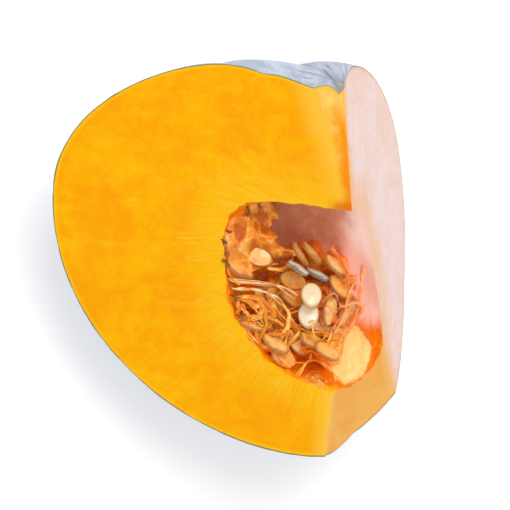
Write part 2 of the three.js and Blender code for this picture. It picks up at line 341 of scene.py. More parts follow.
@dataclass(frozen=True)
class Cuts:
    """The cut planes. The front, side and under cuts share one corner, in the mouth of the cavity."""

    corner: Array = field(default_factory=lambda: np.array([-26.0, -10.3, -6.0]))
    front: Array = field(default_factory=lambda: direction(78, 8))
    side: Array = field(default_factory=lambda: direction(165, 12.5))
    under: Array = field(default_factory=lambda: direction(140, 2))
    bevel: Array = field(default_factory=lambda: direction(115.5, 21))
    bevel_passes: float = 2.4

    @property
    def normals(self) -> dict["Cut", Array]:
        """The outward normal of each cut."""
        return {Cut.FRONT: self.front, Cut.SIDE: self.side, Cut.UNDER: self.under, Cut.BEVEL: self.bevel}

    @property
    def edge(self) -> Array:
        """The line where the front and side cuts meet, pointing up to the stem end."""
        return unit(np.cross(self.front, self.side))

    def into_flesh(self, face: Array, other: Array) -> Array:
        """Square to the edge, in one cut face, and pointing away from the other cut."""
        way = unit(np.cross(face, self.edge))
        return way * -np.sign(way @ other)

    @property
    def along_front(self) -> Array:
        """Square to the edge, in the front cut, pointing into the flesh."""
        return self.into_flesh(self.front, self.side)

    @property
    def along_side(self) -> Array:
        """Square to the edge, in the side cut, pointing into the flesh."""
        return self.into_flesh(self.side, self.front)

    @property
    def opening(self) -> float:
        """Angle between the front and side cuts through the flesh, in radians."""
        return math.acos(float(self.along_front @ self.along_side))

    @property
    def inward(self) -> Array:
        """Square to the edge and to the front cut, into the flesh."""
        return unit(self.along_side - (self.along_side @ self.along_front) * self.along_front)

    def across(self, swing: Array) -> Array:
        """Unit vector square to the edge, at an angle from the front cut into the flesh."""
        return np.cos(swing)[..., None] * self.along_front + np.sin(swing)[..., None] * self.inward

    def ray(self, fall: Array, swing: Array) -> Array:
        """Unit vector from the corner: fall is the angle from the edge, swing from the front cut."""
        return np.cos(fall)[..., None] * self.edge + np.sin(fall)[..., None] * self.across(swing)

    def ray_angles(self, points: Array) -> tuple[Array, Array, Array]:
        """Where points lie as seen from the corner.

        Args:
            points: Places in the fruit.

        Returns:
            The fall, swing and distance of each point.
        """
        away = points - self.corner
        far = np.linalg.norm(away, axis=-1)
        fall = np.arccos(np.clip((away @ self.edge) / np.maximum(far, 1e-9), -1, 1))
        swing = np.arctan2(away @ self.inward, away @ self.along_front)
        return fall, swing, far

    def lowest_fall(self, swing: Array) -> Array:
        """The fall at which a ray meets the under cut."""
        return np.arctan2(-float(self.under @ self.edge), self.across(swing) @ self.under)


@dataclass(frozen=True)
class Nest:
    """The heap of seeds and pulp against the back of the cavity, with axes of its own."""

    aside: float = 2.6
    drop: float = 2.6
    set_back: float = 4.5
    lean: float = 21.0
    step: float = 17.0

    @property
    def axes(self) -> Array:
        """Rows: across to the side cut, up towards the stem, and out towards the front cut."""
        out = direction(90, self.lean)
        across = np.array([-1.0, 0.0, 0.0])
        return np.array([across, np.cross(out, across), out])

    @property
    def origin(self) -> Array:
        """Centre of the cavity at its middle, moved aside, down and back."""
        middle = np.append(HOLLOW.centre(np.array(HOLLOW.middle)), HOLLOW.middle)
        return middle - np.array([self.aside, self.drop, self.set_back]) @ self.axes

    def place(self, local: Array) -> Array:
        """Places in millimetres across, up and out, as places in the fruit."""
        return self.origin + np.asarray(local) @ self.axes

    def local(self, points: Array) -> Array:
        """Places in the fruit, as millimetres across, up and out."""
        return (points - self.origin) @ self.axes.T


@dataclass(frozen=True)
class Scar:
    """Where the stem or the blossom stood, as a place on the skin."""

    place: tuple[float, float, float]

    def away(self, points: Array) -> Array:
        """How far points are from the scar, in millimetres."""
        return np.linalg.norm(points - np.array(self.place), axis=-1)

    def fan(self, points: Array) -> Array:
        """A place for lines that fan out.

        Args:
            points: Places in the fruit.

        Returns:
            The angle round the scar in radians, the distance from it in centimetres, and nothing.
        """
        away = points - np.array(self.place)
        around = np.arctan2(away[..., 1], away[..., 0])
        return np.stack([around, self.away(points) / 10.0, np.zeros_like(around)], axis=-1)


STEM = Scar((-15.7, -36.0, 70.0))
BLOSSOM = Scar((-20.0, 6.0, -128.0))
SKIN = Skin()
HOLLOW = Hollow()
CUTS = Cuts()
NEST = Nest()


def first_beyond(rays: Array, far: float, beyond: Callable[[Array], Array]) -> Array:
    """Distance from the cuts' corner along each ray at which a test first holds, found by halving.

    Args:
        rays: Unit vectors.
        far: A distance at which the test holds on every ray.
        beyond: Takes points and returns where the test holds.

    Returns:
        One distance for each ray.
    """
    low = np.zeros(rays.shape[:-1])
    high = np.full(rays.shape[:-1], far)
    for _ in range(HALVINGS):
        middle = (low + high) / 2
        test = beyond(CUTS.corner + rays * middle[..., None])
        high = np.where(test, middle, high)
        low = np.where(test, low, middle)
    return high


def reach_of_skin(rays: Array) -> Array:
    """Distance from the cuts' corner to the skin, along each ray."""
    return first_beyond(rays, BEYOND_SKIN, lambda points: SKIN.depth(points) < 0)


def reach_of_lining(rays: Array) -> Array:
    """Distance from the cuts' corner to the smooth lining of the cavity, along each ray."""
    return first_beyond(rays, BEYOND_LINING, lambda points: HOLLOW.depth(points) > 0)


def keep_in_hollow(points: Array, bury: float, gap: float = 0.6) -> Array:
    """Draws points back so that none passes a cut, or lies deeper than bury in the lining.

    Args:
        points: Places in the fruit.
        bury: How far they may go into the flesh.
        gap: How far they stay behind each cut.

    Returns:
        The places, each moved square to a cut and then along its line to the corner.
    """
    kept = points.copy()
    for normal in (CUTS.front, CUTS.side, CUTS.under):
        past = np.maximum((kept - CUTS.corner) @ normal + gap, 0.0)
        kept -= past[..., None] * normal
    away = kept - CUTS.corner
    far = np.linalg.norm(away, axis=-1)
    rays = unit(away)
    wall = reach_of_lining(rays) + bury
    return CUTS.corner + rays * np.minimum(far, wall)[..., None]


@dataclass(frozen=True)
class Resting:
    """How the piece lies: the direction in the fruit that points down, and the flat spot there."""

    bearing: float = -72.0
    dip: float = -30.0
    flat_depth: float = 1.6

    @property
    def down(self) -> Array:
        """The direction in the fruit that points down."""
        return direction(self.bearing, self.dip)

    @property
    def turn(self) -> Array:
        """Rotation that takes down to -Z by the shortest way and then faces the front cut to -Y."""
        target = np.array([0.0, 0.0, -1.0])
        axis = np.cross(self.down, target)
        cosine = float(self.down @ target)
        skew = np.array([[0, -axis[2], axis[1]], [axis[2], 0, -axis[0]], [-axis[1], axis[0], 0]])
        standing = np.eye(3) + skew + skew @ skew / (1 + cosine)
        facing = standing @ CUTS.front
        angle = -math.pi / 2 - math.atan2(facing[1], facing[0])
        c, s = math.cos(angle), math.sin(angle)
        return np.array([[c, -s, 0], [s, c, 0], [0, 0, 1]]) @ standing


REST = Resting()
TURN = REST.turn


class Stand:
    """Carries places from the fruit to the row frame and back."""

    shift: Array = np.zeros(3)

    @classmethod
    def match(cls, turned: Array, node: str) -> None:
        """Sets the shift that puts points over a CAD node's box, on its floor and at its middle.

        Args:
            turned: Points in the resting attitude, in millimetres.
            node: The CAD node.
        """
        low, high = (np.array(corner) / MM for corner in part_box(node))
        middle = (turned.max(axis=0) + turned.min(axis=0)) / 2
        cls.shift = (low + high) / 2 - middle
        cls.shift[2] = low[2] - turned[:, 2].min()

    @classmethod
    def to_row(cls, points: Array) -> Array:
        """Fruit millimetres to row metres."""
        return (points @ TURN.T + cls.shift) * MM

    @classmethod
    def to_fruit(cls, points: Array) -> Array:
        """Row metres to fruit millimetres."""
        return (points / MM - cls.shift) @ TURN


# ---------------------------------------------------------------- meshes


class Patchwork:
    """Grids of points that are welded into one mesh."""

    def __init__(self) -> None:
        """Starts with no points and no faces."""
        self.points: list[Array] = []
        self.quads: list[Array] = []
        self.slots: list[Array] = []
        self.extra: dict[str, list[Array]] = {}
        self.count = 0

    def grid(
        self,
        points: Array,
        outward: Array | None = None,
        slot: int = 0,
        wrap: bool = False,
        **extra: Array,
    ) -> None:
        """Adds a grid of points with a face between each four neighbours.

        Args:
            points: Places on the last axis, with rows and columns before it, and any number of such
                grids before those.
            outward: The way the faces should look, as one vector or one for each point. Without it
                they look away from the middle of their own row.
            slot: Material slot of the faces.
            wrap: Whether the last column joins the first.
            extra: A named value for each point.
        """
        *many, rows, columns, _ = points.shape
        total = int(np.prod(many)) if many else 1
        flat = points.reshape(total, rows, columns, 3)
        index = np.arange(total * rows * columns).reshape(total, rows, columns)
        if wrap:
            index = np.concatenate([index, index[:, :, :1]], axis=2)
        a, b = index[:, :-1, :-1], index[:, :-1, 1:]
        c, d = index[:, 1:, 1:], index[:, 1:, :-1]
        quads = np.stack([a, b, c, d], axis=-1).reshape(total, -1, 4)
        places = flat.reshape(-1, 3)
        if outward is None:
            wanted = (flat - flat.mean(axis=2, keepdims=True)).reshape(-1, 3)
        else:
            wanted = np.broadcast_to(outward, points.shape).reshape(-1, 3)
        first, second, third, fourth = (places[quads[..., k]] for k in range(4))
        crossed = np.cross(third - first, fourth - second)
        facing = np.einsum("nqi,nqi->n", crossed, wanted[quads[..., 0]] + wanted[quads[..., 2]])
        quads[facing < 0] = quads[facing < 0][..., ::-1]
        self.points.append(places)
        self.quads.append(quads.reshape(-1, 4) + self.count)
        self.slots.append(np.full(quads.reshape(-1, 4).shape[0], slot))
        self.count += len(places)
        for name, values in extra.items():
            wide = np.broadcast_to(values, points.shape[:-1])
            self.extra.setdefault(name, []).append(wide.reshape(-1))

    def made(
        self,
        name: str,
        finishes: list[Material],
        sharp: float = SMOOTH,
        attributes: Callable[[Array], dict[str, Array]] | None = None,
    ) -> Piece:
        """Welds the grids and makes the object.

        Points that agree to a ten-thousandth of a millimetre become one, and a face whose corners meet
        keeps the corners that are left.

        Args:
            name: The piece's name.
            finishes: Its materials, in the order of the slots.
            sharp: Edges sharper than this many degrees are not smoothed.
            attributes: Works out more values for the welded points from their places in the fruit.

        Returns:
            The Blender object.
        """
        points = np.concatenate(self.points)
        quads = np.concatenate(self.quads)
        slots = np.concatenate(self.slots)
        rounded = np.round(points, WELD_DECIMALS)
        _, first, where = np.unique(rounded, axis=0, return_index=True, return_inverse=True)
        points = points[first]
        quads = where.reshape(-1)[quads]
        keep = quads != np.roll(quads, 1, axis=1)
        sides = keep.sum(axis=1)
        whole = sides >= 3
        quads, keep, sides, slots = quads[whole], keep[whole], sides[whole], slots[whole]
        mesh = bpy.data.meshes.new(name)
        mesh.vertices.add(len(points))
        mesh.vertices.foreach_set("co", Stand.to_row(points).astype(np.float32).reshape(-1))
        mesh.loops.add(int(sides.sum()))
        mesh.loops.foreach_set("vertex_index", quads[keep].astype(np.int32))
        mesh.polygons.add(len(sides))
        starts = np.concatenate([[0], np.cumsum(sides)[:-1]])
        mesh.polygons.foreach_set("loop_start", starts.astype(np.int32))
        mesh.polygons.foreach_set("material_index", slots.astype(np.int32))
        mesh.update(calc_edges=True)
        mesh.validate()
        values = {key: np.concatenate(parts)[first] for key, parts in self.extra.items()}
        if attributes:
            values.update(attributes(points))
        for key, numbers in values.items():
            kind, field_name = ("FLOAT_VECTOR", "vector") if numbers.ndim == 2 else ("FLOAT", "value")
            layer = mesh.attributes.new(key, kind, "POINT")
            layer.data.foreach_set(field_name, numbers.astype(np.float32).reshape(-1))
        mesh.polygons.foreach_set("use_smooth", np.ones(len(mesh.polygons), dtype=bool))
        mesh.set_sharp_from_angle(angle=math.radians(sharp))
        for finish in finishes:
            mesh.materials.append(finish)
        piece = bpy.data.objects.new(name, mesh)
        bpy.context.scene.collection.objects.link(piece)
        log.info("%s: %d points, %d faces", name, len(points), len(sides))
        return piece


def placed(piece: Piece, nodes: list[str]) -> None:
    """Rides a piece on the body and hides the CAD nodes it stands for.

    Args:
        piece: The finished object.
        nodes: The CAD nodes it stands for, which may be none.
    """
    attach(piece, BODY)
    if nodes:
        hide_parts(*nodes)


def spline(knots: Array, steps: int) -> Array:
    """A smooth path through its knots: Catmull-Rom, with the end knots doubled by reflection.

    Args:
        knots: Places, with the knots on the axis before the last.
        steps: How many points the path has.

    Returns:
        Points along the path.
    """
    first = 2 * knots[..., :1, :] - knots[..., 1:2, :]
    last = 2 * knots[..., -1:, :] - knots[..., -2:-1, :]
    full = np.concatenate([first, knots, last], axis=-2)
    spans = knots.shape[-2] - 1
    at = np.linspace(0, spans, steps)
    k = np.minimum(at.astype(int), spans - 1)
    t = (at - k)[:, None]
    p0, p1, p2, p3 = (full[..., k + i, :] for i in range(4))
    square = 2 * p0 - 5 * p1 + 4 * p2 - p3
    cube = 3 * p1 - p0 - 3 * p2 + p3
    return 0.5 * (2 * p1 + (p2 - p0) * t + square * t**2 + cube * t**3)


def tube(paths: Array, radii: Array, sides: int, flatness: float = 1.0) -> Array:
    """Rings of points round each path: path + r (cos a * level + flatness * sin a * square).

    Level is square to the path and to the nest's outward axis, and square is square to both.

    Args:
        paths: Points along each path, on the axis before the last.
        radii: A radius for each point; a radius of nothing closes the end.
        sides: How many points a ring has.
        flatness: Thickness as a share of width.

    Returns:
        The rings, one row for each point of a path.
    """
    along = unit(np.gradient(paths, axis=-2))
    level = unit(np.cross(along, NEST.axes[2] + 0.01))
    square = np.cross(level, along)
    angle = 2 * math.pi * np.arange(sides) / sides
    width = np.cos(angle)[:, None] * level[..., None, :]
    height = flatness * np.sin(angle)[:, None] * square[..., None, :]
    return paths[..., None, :] + radii[..., None, None] * (width + height)


# ---------------------------------------------------------------- shader maths


class Value:
    """A number socket that can be used in arithmetic; each operator adds a Math node."""

    def __init__(self, graph: "Graph", socket: Socket) -> None:
        """Keeps the graph that new nodes go into, and the socket."""
        self.graph = graph
        self.socket = socket

    def math(self, operation: str, other: "Value | float") -> "Value":
        """This value and another, through one Math node."""
        node = self.graph.node("ShaderNodeMath", {"operation": operation}, {0: self, 1: other})
        return Value(self.graph, node.outputs[0])

    def __add__(self, other: "Value | float") -> "Value":
        """Sum."""
        return self.math("ADD", other)

    __radd__ = __add__

    def __sub__(self, other: "Value | float") -> "Value":
        """Difference."""
        return self.math("SUBTRACT", other)

    def __rsub__(self, other: "Value | float") -> "Value":
        """Difference from a number."""
        return (self * -1.0).math("ADD", other)

    def __mul__(self, other: "Value | float") -> "Value":
        """Product."""
        return self.math("MULTIPLY", other)

    __rmul__ = __mul__

    def __truediv__(self, other: "Value | float") -> "Value":
        """Quotient."""
        return self.math("DIVIDE", other)

    def between(self, low: float, high: float) -> "Value":
        """Eased from 0 to 1 between two numbers.

        Args:
            low: Where the result is 0, which may be the larger number.
            high: Where it is 1.

        Returns:
            The eased value.
        """
        sockets = {0: self, 1: low, 2: high, 3: 0.0, 4: 1.0}
        settings = {"interpolation_type": "SMOOTHSTEP"}
        node = self.graph.node("ShaderNodeMapRange", settings, sockets)
        return Value(self.graph, node.outputs[0])


class Graph:
    """One material and the nodes in it."""

    def __init__(self, name: str) -> None:
        """Makes an empty material with a Principled shader."""
        self.material = bpy.data.materials.new(name)
        self.material.use_nodes = True
        self.tree = self.material.node_tree
        self.tree.nodes.clear()
        self.shader = self.node("ShaderNodeBsdfPrincipled", {}, {})
        self.node("ShaderNodeOutputMaterial", {}, {"Surface": self.shader.outputs[0]})

    def node(self, kind: str, settings: dict[str, object], sockets: Inputs) -> bpy.types.Node:
        """Any node.

        Args:
            kind: The node's type.
            settings: Its properties, which are set first.
            sockets: Values or links for its inputs, by name or number.

        Returns:
            The node.
        """
        made = self.tree.nodes.new(kind)
        for key, value in settings.items():
            setattr(made, key, value)
        self.join(made, sockets)
        return made

    def join(self, node: bpy.types.Node, sockets: Inputs) -> None:
        """Links or sets inputs of a node.

        Args:
            node: The node.
            sockets: Values or links for its inputs, by name or number.
        """
        for key, value in sockets.items():
            value = value.socket if isinstance(value, Value) else value
            if isinstance(value, Socket):
                self.tree.links.new(value, node.inputs[key])
            else:
                node.inputs[key].default_value = value

    def attribute(self, name: str) -> Value:
        """A value stored on the mesh."""
        node = self.node("ShaderNodeAttribute", {"attribute_name": name}, {})
        return Value(self, node.outputs["Fac"])

    def places(self, name: str, stretch: Stretch = (1, 1, 1)) -> Socket:
        """A vector stored on the mesh, stretched along its axes."""
        node = self.node("ShaderNodeAttribute", {"attribute_name": name}, {})
        return self.stretched(node.outputs["Vector"], stretch)

    def object_places(self, stretch: Stretch = (1, 1, 1)) -> Socket:
        """Object coordinates, stretched along their axes."""
        node = self.node("ShaderNodeTexCoord", {}, {})
        return self.stretched(node.outputs["Object"], stretch)

    def stretched(self, vector: Socket, stretch: Stretch) -> Socket:
        """A vector multiplied by another, axis by axis."""
        node = self.node("ShaderNodeVectorMath", {"operation": "MULTIPLY"}, {0: vector, 1: stretch})
        return node.outputs[0]

    def noise(
        self, vector: Socket, scale: float, detail: float, roughness: float = 0.55, warp: float = 0.0
    ) -> Value:
        """Fractal noise about 0.5.

        Args:
            vector: Where it is read.
            scale: Its largest lumps in each unit of the vector.
            detail: How many times it is added to itself at half the size.
            roughness: How much of each smaller size is kept.
            warp: How far it is bent by itself.

        Returns:
            The noise.
        """
        sockets = {"Vector": vector, "Scale": scale, "Detail": detail, "Roughness": roughness}
        node = self.node("ShaderNodeTexNoise", {}, {**sockets, "Distortion": warp})
        return Value(self, node.outputs[0])

    def spots(self, vector: Socket, scale: float) -> Value:
        """Distance to the nearest of scattered points, in cells."""
        node = self.node("ShaderNodeTexVoronoi", {}, {"Vector": vector, "Scale": scale})
        return Value(self, node.outputs["Distance"])

    def mixed(self, amount: Value, first: Colour | Socket, second: Colour | Socket) -> Socket:
        """Two colours mixed.

        Args:
            amount: 0 for the first and 1 for the second.
            first: A colour or a link.
            second: A colour or a link.

        Returns:
            The mixed colour.
        """
        colours = [(*c, 1.0) if isinstance(c, tuple) else c for c in (first, second)]
        settings = {"data_type": "RGBA", "clamp_factor": True}
        node = self.node("ShaderNodeMix", settings, {0: amount, 6: colours[0], 7: colours[1]})
        return node.outputs[2]

    def bump(self, height: Value, distance: float, strength: float) -> Socket:
        """A Bump node's normal; distance is in metres."""
        sockets = {"Height": height, "Distance": distance, "Strength": strength}
        return self.node("ShaderNodeBump", {}, sockets).outputs[0]

    def finish(
        self, colour: Socket, roughness: Value | float, normal: Socket | None = None, **others: object
    ) -> Material:
        """Joins what varies to the shader, and sets what doesn't on its own sockets.

        Args:
            colour: The base colour.
            roughness: A number or a value.
            normal: A link, or None.
            others: Other inputs by name, with underscores for spaces.

        Returns:
            The material.
        """
        sockets = {"Base Color": colour, "Roughness": roughness}
        if normal is not None:
            sockets["Normal"] = normal
        sockets.update((key.replace("_", " "), value) for key, value in others.items())
        self.join(self.shader, sockets)
        return self.material


def srgb(red: float, green: float, blue: float) -> Colour:
    """A colour given as 0 to 255 on a screen, as the linear numbers that a shader takes."""
    parts = (c / 255 for c in (red, green, blue))
    return tuple(c / 12.92 if c <= 0.04045 else ((c + 0.055) / 1.055) ** 2.4 for c in parts)


# ---------------------------------------------------------------- finishes


class Cut(Enum):
    """The slots of the wedge: its skin, its cut faces and its lining."""

    SKIN = 0
    FRONT = 1
    SIDE = 2
    UNDER = 3
    BEVEL = 4
    LINING = 5


@dataclass(frozen=True)
class FleshTint:
    """Colours of one cut face, and how strong its hairs, its painted lip shade and its dots are."""

    name: str
    deep: Colour
    light: Colour
    near_hollow: Colour
    near_edge: Colour
    rind: Colour
    edge_width: float = 3.0
    hair: float = 0.5
    lip: float = 0.0
    dots: float = 0.3
    # Painted shade: darker orange along the lip beside the side cut and under the lip over the cavity.
    lip_shade_beside: Colour = srgb(244, 142, 8)
    lip_shade_under: Colour = srgb(226, 108, 6)


FLESH_TINTS = {
    Cut.FRONT: FleshTint(
        "front_flesh",
        srgb(251, 164, 0),
        srgb(254, 184, 0),
        srgb(253, 196, 24),
        srgb(252, 200, 66),
        srgb(122, 132, 92),
        edge_width=9.0,
        lip=0.8,
    ),
    Cut.BEVEL: FleshTint(
        "bevel_flesh",
        srgb(240, 176, 40),
        srgb(246, 208, 112),
        srgb(244, 186, 50),
        srgb(242, 186, 60),
        srgb(150, 156, 140),
        edge_width=1.6,
        hair=0.2,
        lip=0.9,
        dots=1.0,
    ),
    # Painted glare: the side cut's deep and light colours are pale pinkish white, orange flesh
    # over-brightened by the strong light from the right.
    Cut.SIDE: FleshTint(
        "side_flesh_painted_glare",
        srgb(234, 204, 192),
        srgb(236, 216, 220),
        srgb(238, 186, 140),
        srgb(240, 184, 128),
        srgb(140, 152, 158),
        edge_width=9.0,
        hair=0.3,
    ),
    Cut.UNDER: FleshTint(
        "under_flesh",
        srgb(238, 166, 70),
        srgb(240, 184, 104),
        srgb(242, 172, 78),
        srgb(242, 188, 116),
        srgb(132, 140, 120),
        edge_width=3.0,
        hair=0.3,
    ),
}


def flesh_finish(tint: FleshTint) -> Material:
    """Cut flesh: softly mottled, with fine hairs round the cavity and a thin rind line.

    Args:
        tint: The face's colours.

    Returns:
        The material.
    """
    g = Graph(tint.name)
    rind = g.attribute("rind")
    hollow = g.attribute("hollow")
    crease = g.attribute("crease")
    place = g.places("fruit")
    rays = g.places("rays", (60, 60, 5))
    cloud = g.noise(place, 3.0, 3.0, 0.5, 0.4)
    patch = g.noise(place, 10.0, 5.0, 0.62, 0.5)
    fibre = g.noise(rays, 1.0, 5.0, 0.66, 0.4)
    grain = g.noise(place, 70.0, 5.0, 0.7, 0.3)
    pits = g.spots(place, 55.0)
    tone = (cloud * 0.4 + patch * 0.45 + grain * 0.15).between(0.40, 0.60)
    colour = g.mixed(tone, tint.deep, tint.light)
    colour = g.mixed((cloud * 0.5 + patch * 0.5).between(0.56, 0.66) * 0.5, colour, tint.near_hollow)
    round_hollow = (hollow + (patch - 0.5) * 16.0).between(26.0, 5.0)
    colour = g.mixed(round_hollow * 0.7, colour, tint.near_hollow)
    hairs = fibre.between(0.5, 0.66) * hollow.between(44.0, 12.0)
    colour = g.mixed(hairs * tint.hair, colour, tint.near_edge)
    colour = g.mixed(fibre.between(0.46, 0.36) * hollow.between(30.0, 4.0) * 0.45, colour, tint.deep)
    knife = g.noise(g.places("fruit", (1.3, 1.3, 15.0)), 1.0, 5.0, 0.6, 0.3)
    colour = g.mixed(knife.between(0.52, 0.68) * 0.4, colour, tint.deep)
    colour = g.mixed(knife.between(0.44, 0.32) * 0.3, colour, tint.near_hollow)
    colour = g.mixed(grain.between(0.52, 0.70) * 0.3, colour, tint.deep)
    colour = g.mixed(pits.between(0.2, 0.06) * patch.between(0.4, 0.6) * tint.dots, colour, tint.deep)
    soft = (crease + (patch - 0.5) * tint.edge_width).between(tint.edge_width, 0.0)
    colour = g.mixed(soft * 0.85, colour, tint.near_edge)
    # Painted shade: a darker orange band along the cavity's lip beside the side cut, and under the lip
    # above the cavity.
    lip = (g.attribute("beside") + (patch - 0.5) * 7.0).between(7.0, 1.5) * hollow.between(90.0, 40.0)
    lip = lip * g.attribute("behind").between(9.0, 5.0)
    colour = g.mixed(lip * tint.lip, colour, tint.lip_shade_beside)
    above = g.attribute("across").between(7.0, 15.0) * g.attribute("upward").between(25.0, 35.0)
    under_lip_shade = (hollow + (patch - 0.5) * 5.0).between(7.5, 2.0) * above
    colour = g.mixed(under_lip_shade * tint.lip, colour, tint.lip_shade_under)
    edge = rind + (patch - 0.5) * 0.7
    colour = g.mixed(edge.between(3.2, 1.2) * 0.7, colour, tint.near_hollow)
    colour = g.mixed(edge.between(0.95, 0.35), colour, tint.rind)
    height = grain * 0.5 + fibre * hollow.between(50.0, 8.0) * 0.6 + patch * 0.4
    height = height - pits.between(0.3, 0.0) * 0.2
    normal = g.bump(height, 0.0011, 0.5)
    rough = 0.5 + grain * 0.25
    return g.finish(
        colour, rough, normal, Specular_IOR_Level=0.06, Subsurface_Weight=0.1, Subsurface_Scale=0.004
    )


@dataclass(frozen=True)
class Lining:
    """Colours of the cavity wall and where they lie in the nest's own axes, in millimetres."""

    wall: tuple[Colour, Colour] = (srgb(216, 138, 102), srgb(230, 160, 126))
    floor: tuple[Colour, Colour] = (srgb(252, 118, 0), srgb(255, 154, 0))
    # Painted light: the mouth colour brightens the lining by the front cut where it would fall in shade.
    mouth: Colour = srgb(251, 178, 22)
    # Pale pink-peach on the right wall: partly its own pink, partly painted glare from the strong light
    # on that side.
    pink_and_painted_glare: tuple[Colour, Colour] = (srgb(246, 166, 128), srgb(246, 214, 204))
    patch: Colour = srgb(253, 214, 140)
    patch_line: Colour = srgb(240, 140, 20)
    wall_above: Span = (-4.0, 10.0)
    glare_beyond: Span = (16.0, 27.0)
    glare_above: Span = (-18.0, -6.0)
    patch_centre: Span = (28.0, -30.0)
    patch_radii: Span = (12.0, 16.0)
    mouth_depth: float = 12.0

    def finish(self) -> Material:
        """Brown-pink at the roof, wet orange at the floor, with painted light and glow at the mouth, the
        right wall and the pale patch.

        Returns:
            The material.
        """
        g = Graph("cavity_lining")
        place = g.places("fruit")
        rays = g.places("rays", (34, 34, 3))
        upward = g.attribute("upward")
        across = g.attribute("across")
        behind = g.attribute("behind")
        cloud = g.noise(place, 7.0, 4.0, 0.6, 0.5)
        strings = g.noise(rays, 1.0, 5.0, 0.6, 0.8)
        grain = g.noise(place, 60.0, 4.0, 0.6)
        drift = (cloud - 0.5) * 14.0
        wall = g.mixed(cloud.between(0.4, 0.62), *self.wall)
        floor = g.mixed(strings.between(0.36, 0.66), *self.floor)
        roof = (upward + drift).between(*self.wall_above) * (across + drift * 0.5).between(-27.0, -18.0)
        colour = g.mixed(roof, floor, wall)
        # The right wall's pale pink-peach is partly its own pink and partly painted glare.
        pink_and_painted_glare = g.mixed((across + upward * 0.25).between(22.0, 36.0), *self.pink_and_painted_glare)
        glare_zone = (across + drift).between(*self.glare_beyond) * (upward + drift).between(*self.glare_above)
        colour = g.mixed(glare_zone, colour, pink_and_painted_glare)
        out_of = self.patch_ellipse(across, upward) + (cloud - 0.5) * 0.9 + (strings - 0.5) * 0.5
        colour = g.mixed(out_of.between(1.35, 1.1) * 0.8, colour, self.patch_line)
        colour = g.mixed(out_of.between(1.1, 0.9), colour, self.patch)
        # Painted light: near the mouth the lining is brightened to yellow-orange and given a glow.
        mouth = (behind + drift * 0.3).between(self.mouth_depth, 0.5) * upward.between(4.0, -14.0)
        colour = g.mixed(mouth, colour, self.mouth)
        colour = g.mixed(grain.between(0.5, 0.75) * 0.2, colour, self.patch)
        relief = strings * 0.6 * upward.between(14.0, -2.0) + grain * 0.25 + cloud * 0.3
        normal = g.bump(relief, 0.0015, 0.6)
        rough = 0.42 + grain * 0.25
        # Painted glow: emission on the right wall, the mouth and the pale patch stands in for light
        # falling there.
        glow = g.mixed(glare_zone * 0.5, (0.0, 0.0, 0.0), self.pink_and_painted_glare[1])
        glow = g.mixed(mouth, glow, self.floor[1])
        glow = g.mixed(out_of.between(1.1, 0.9) * 0.6, glow, self.patch)
        return g.finish(
            colour,
            rough,
            normal,
            Specular_IOR_Level=0.12,
            Coat_Weight=0.04,
            Coat_Roughness=0.3,
            Emission_Color=glow,
            Emission_Strength=0.42,
        )

    def patch_ellipse(self, across: Value, upward: Value) -> Value:
        """Squared distance from the middle of the pale patch, as a share of its radii."""
        x = (across - self.patch_centre[0]) / self.patch_radii[0]
        y = (upward - self.patch_centre[1]) / self.patch_radii[1]
        return x * x + y * y


@dataclass(frozen=True)
class SkinTint:
    """Colours of the waxy rind, and of the scars where the stem and the blossom stood."""

    name: str = "blue_grey_skin"
    dull: Colour = srgb(146, 159, 180)
    bloom: Colour = srgb(194, 205, 225)
    groove: Colour = srgb(112, 126, 142)
    streak: Colour = srgb(208, 214, 228)
    fleck: Colour = srgb(212, 214, 206)
    blotch: Colour = srgb(116, 134, 144)
    stem_lines: tuple[Colour, Colour] = (srgb(146, 138, 146), srgb(206, 204, 214))
    scar: tuple[Colour, Colour] = (srgb(150, 144, 142), srgb(196, 192, 190))
    blossom: Colour = srgb(156, 140, 116)


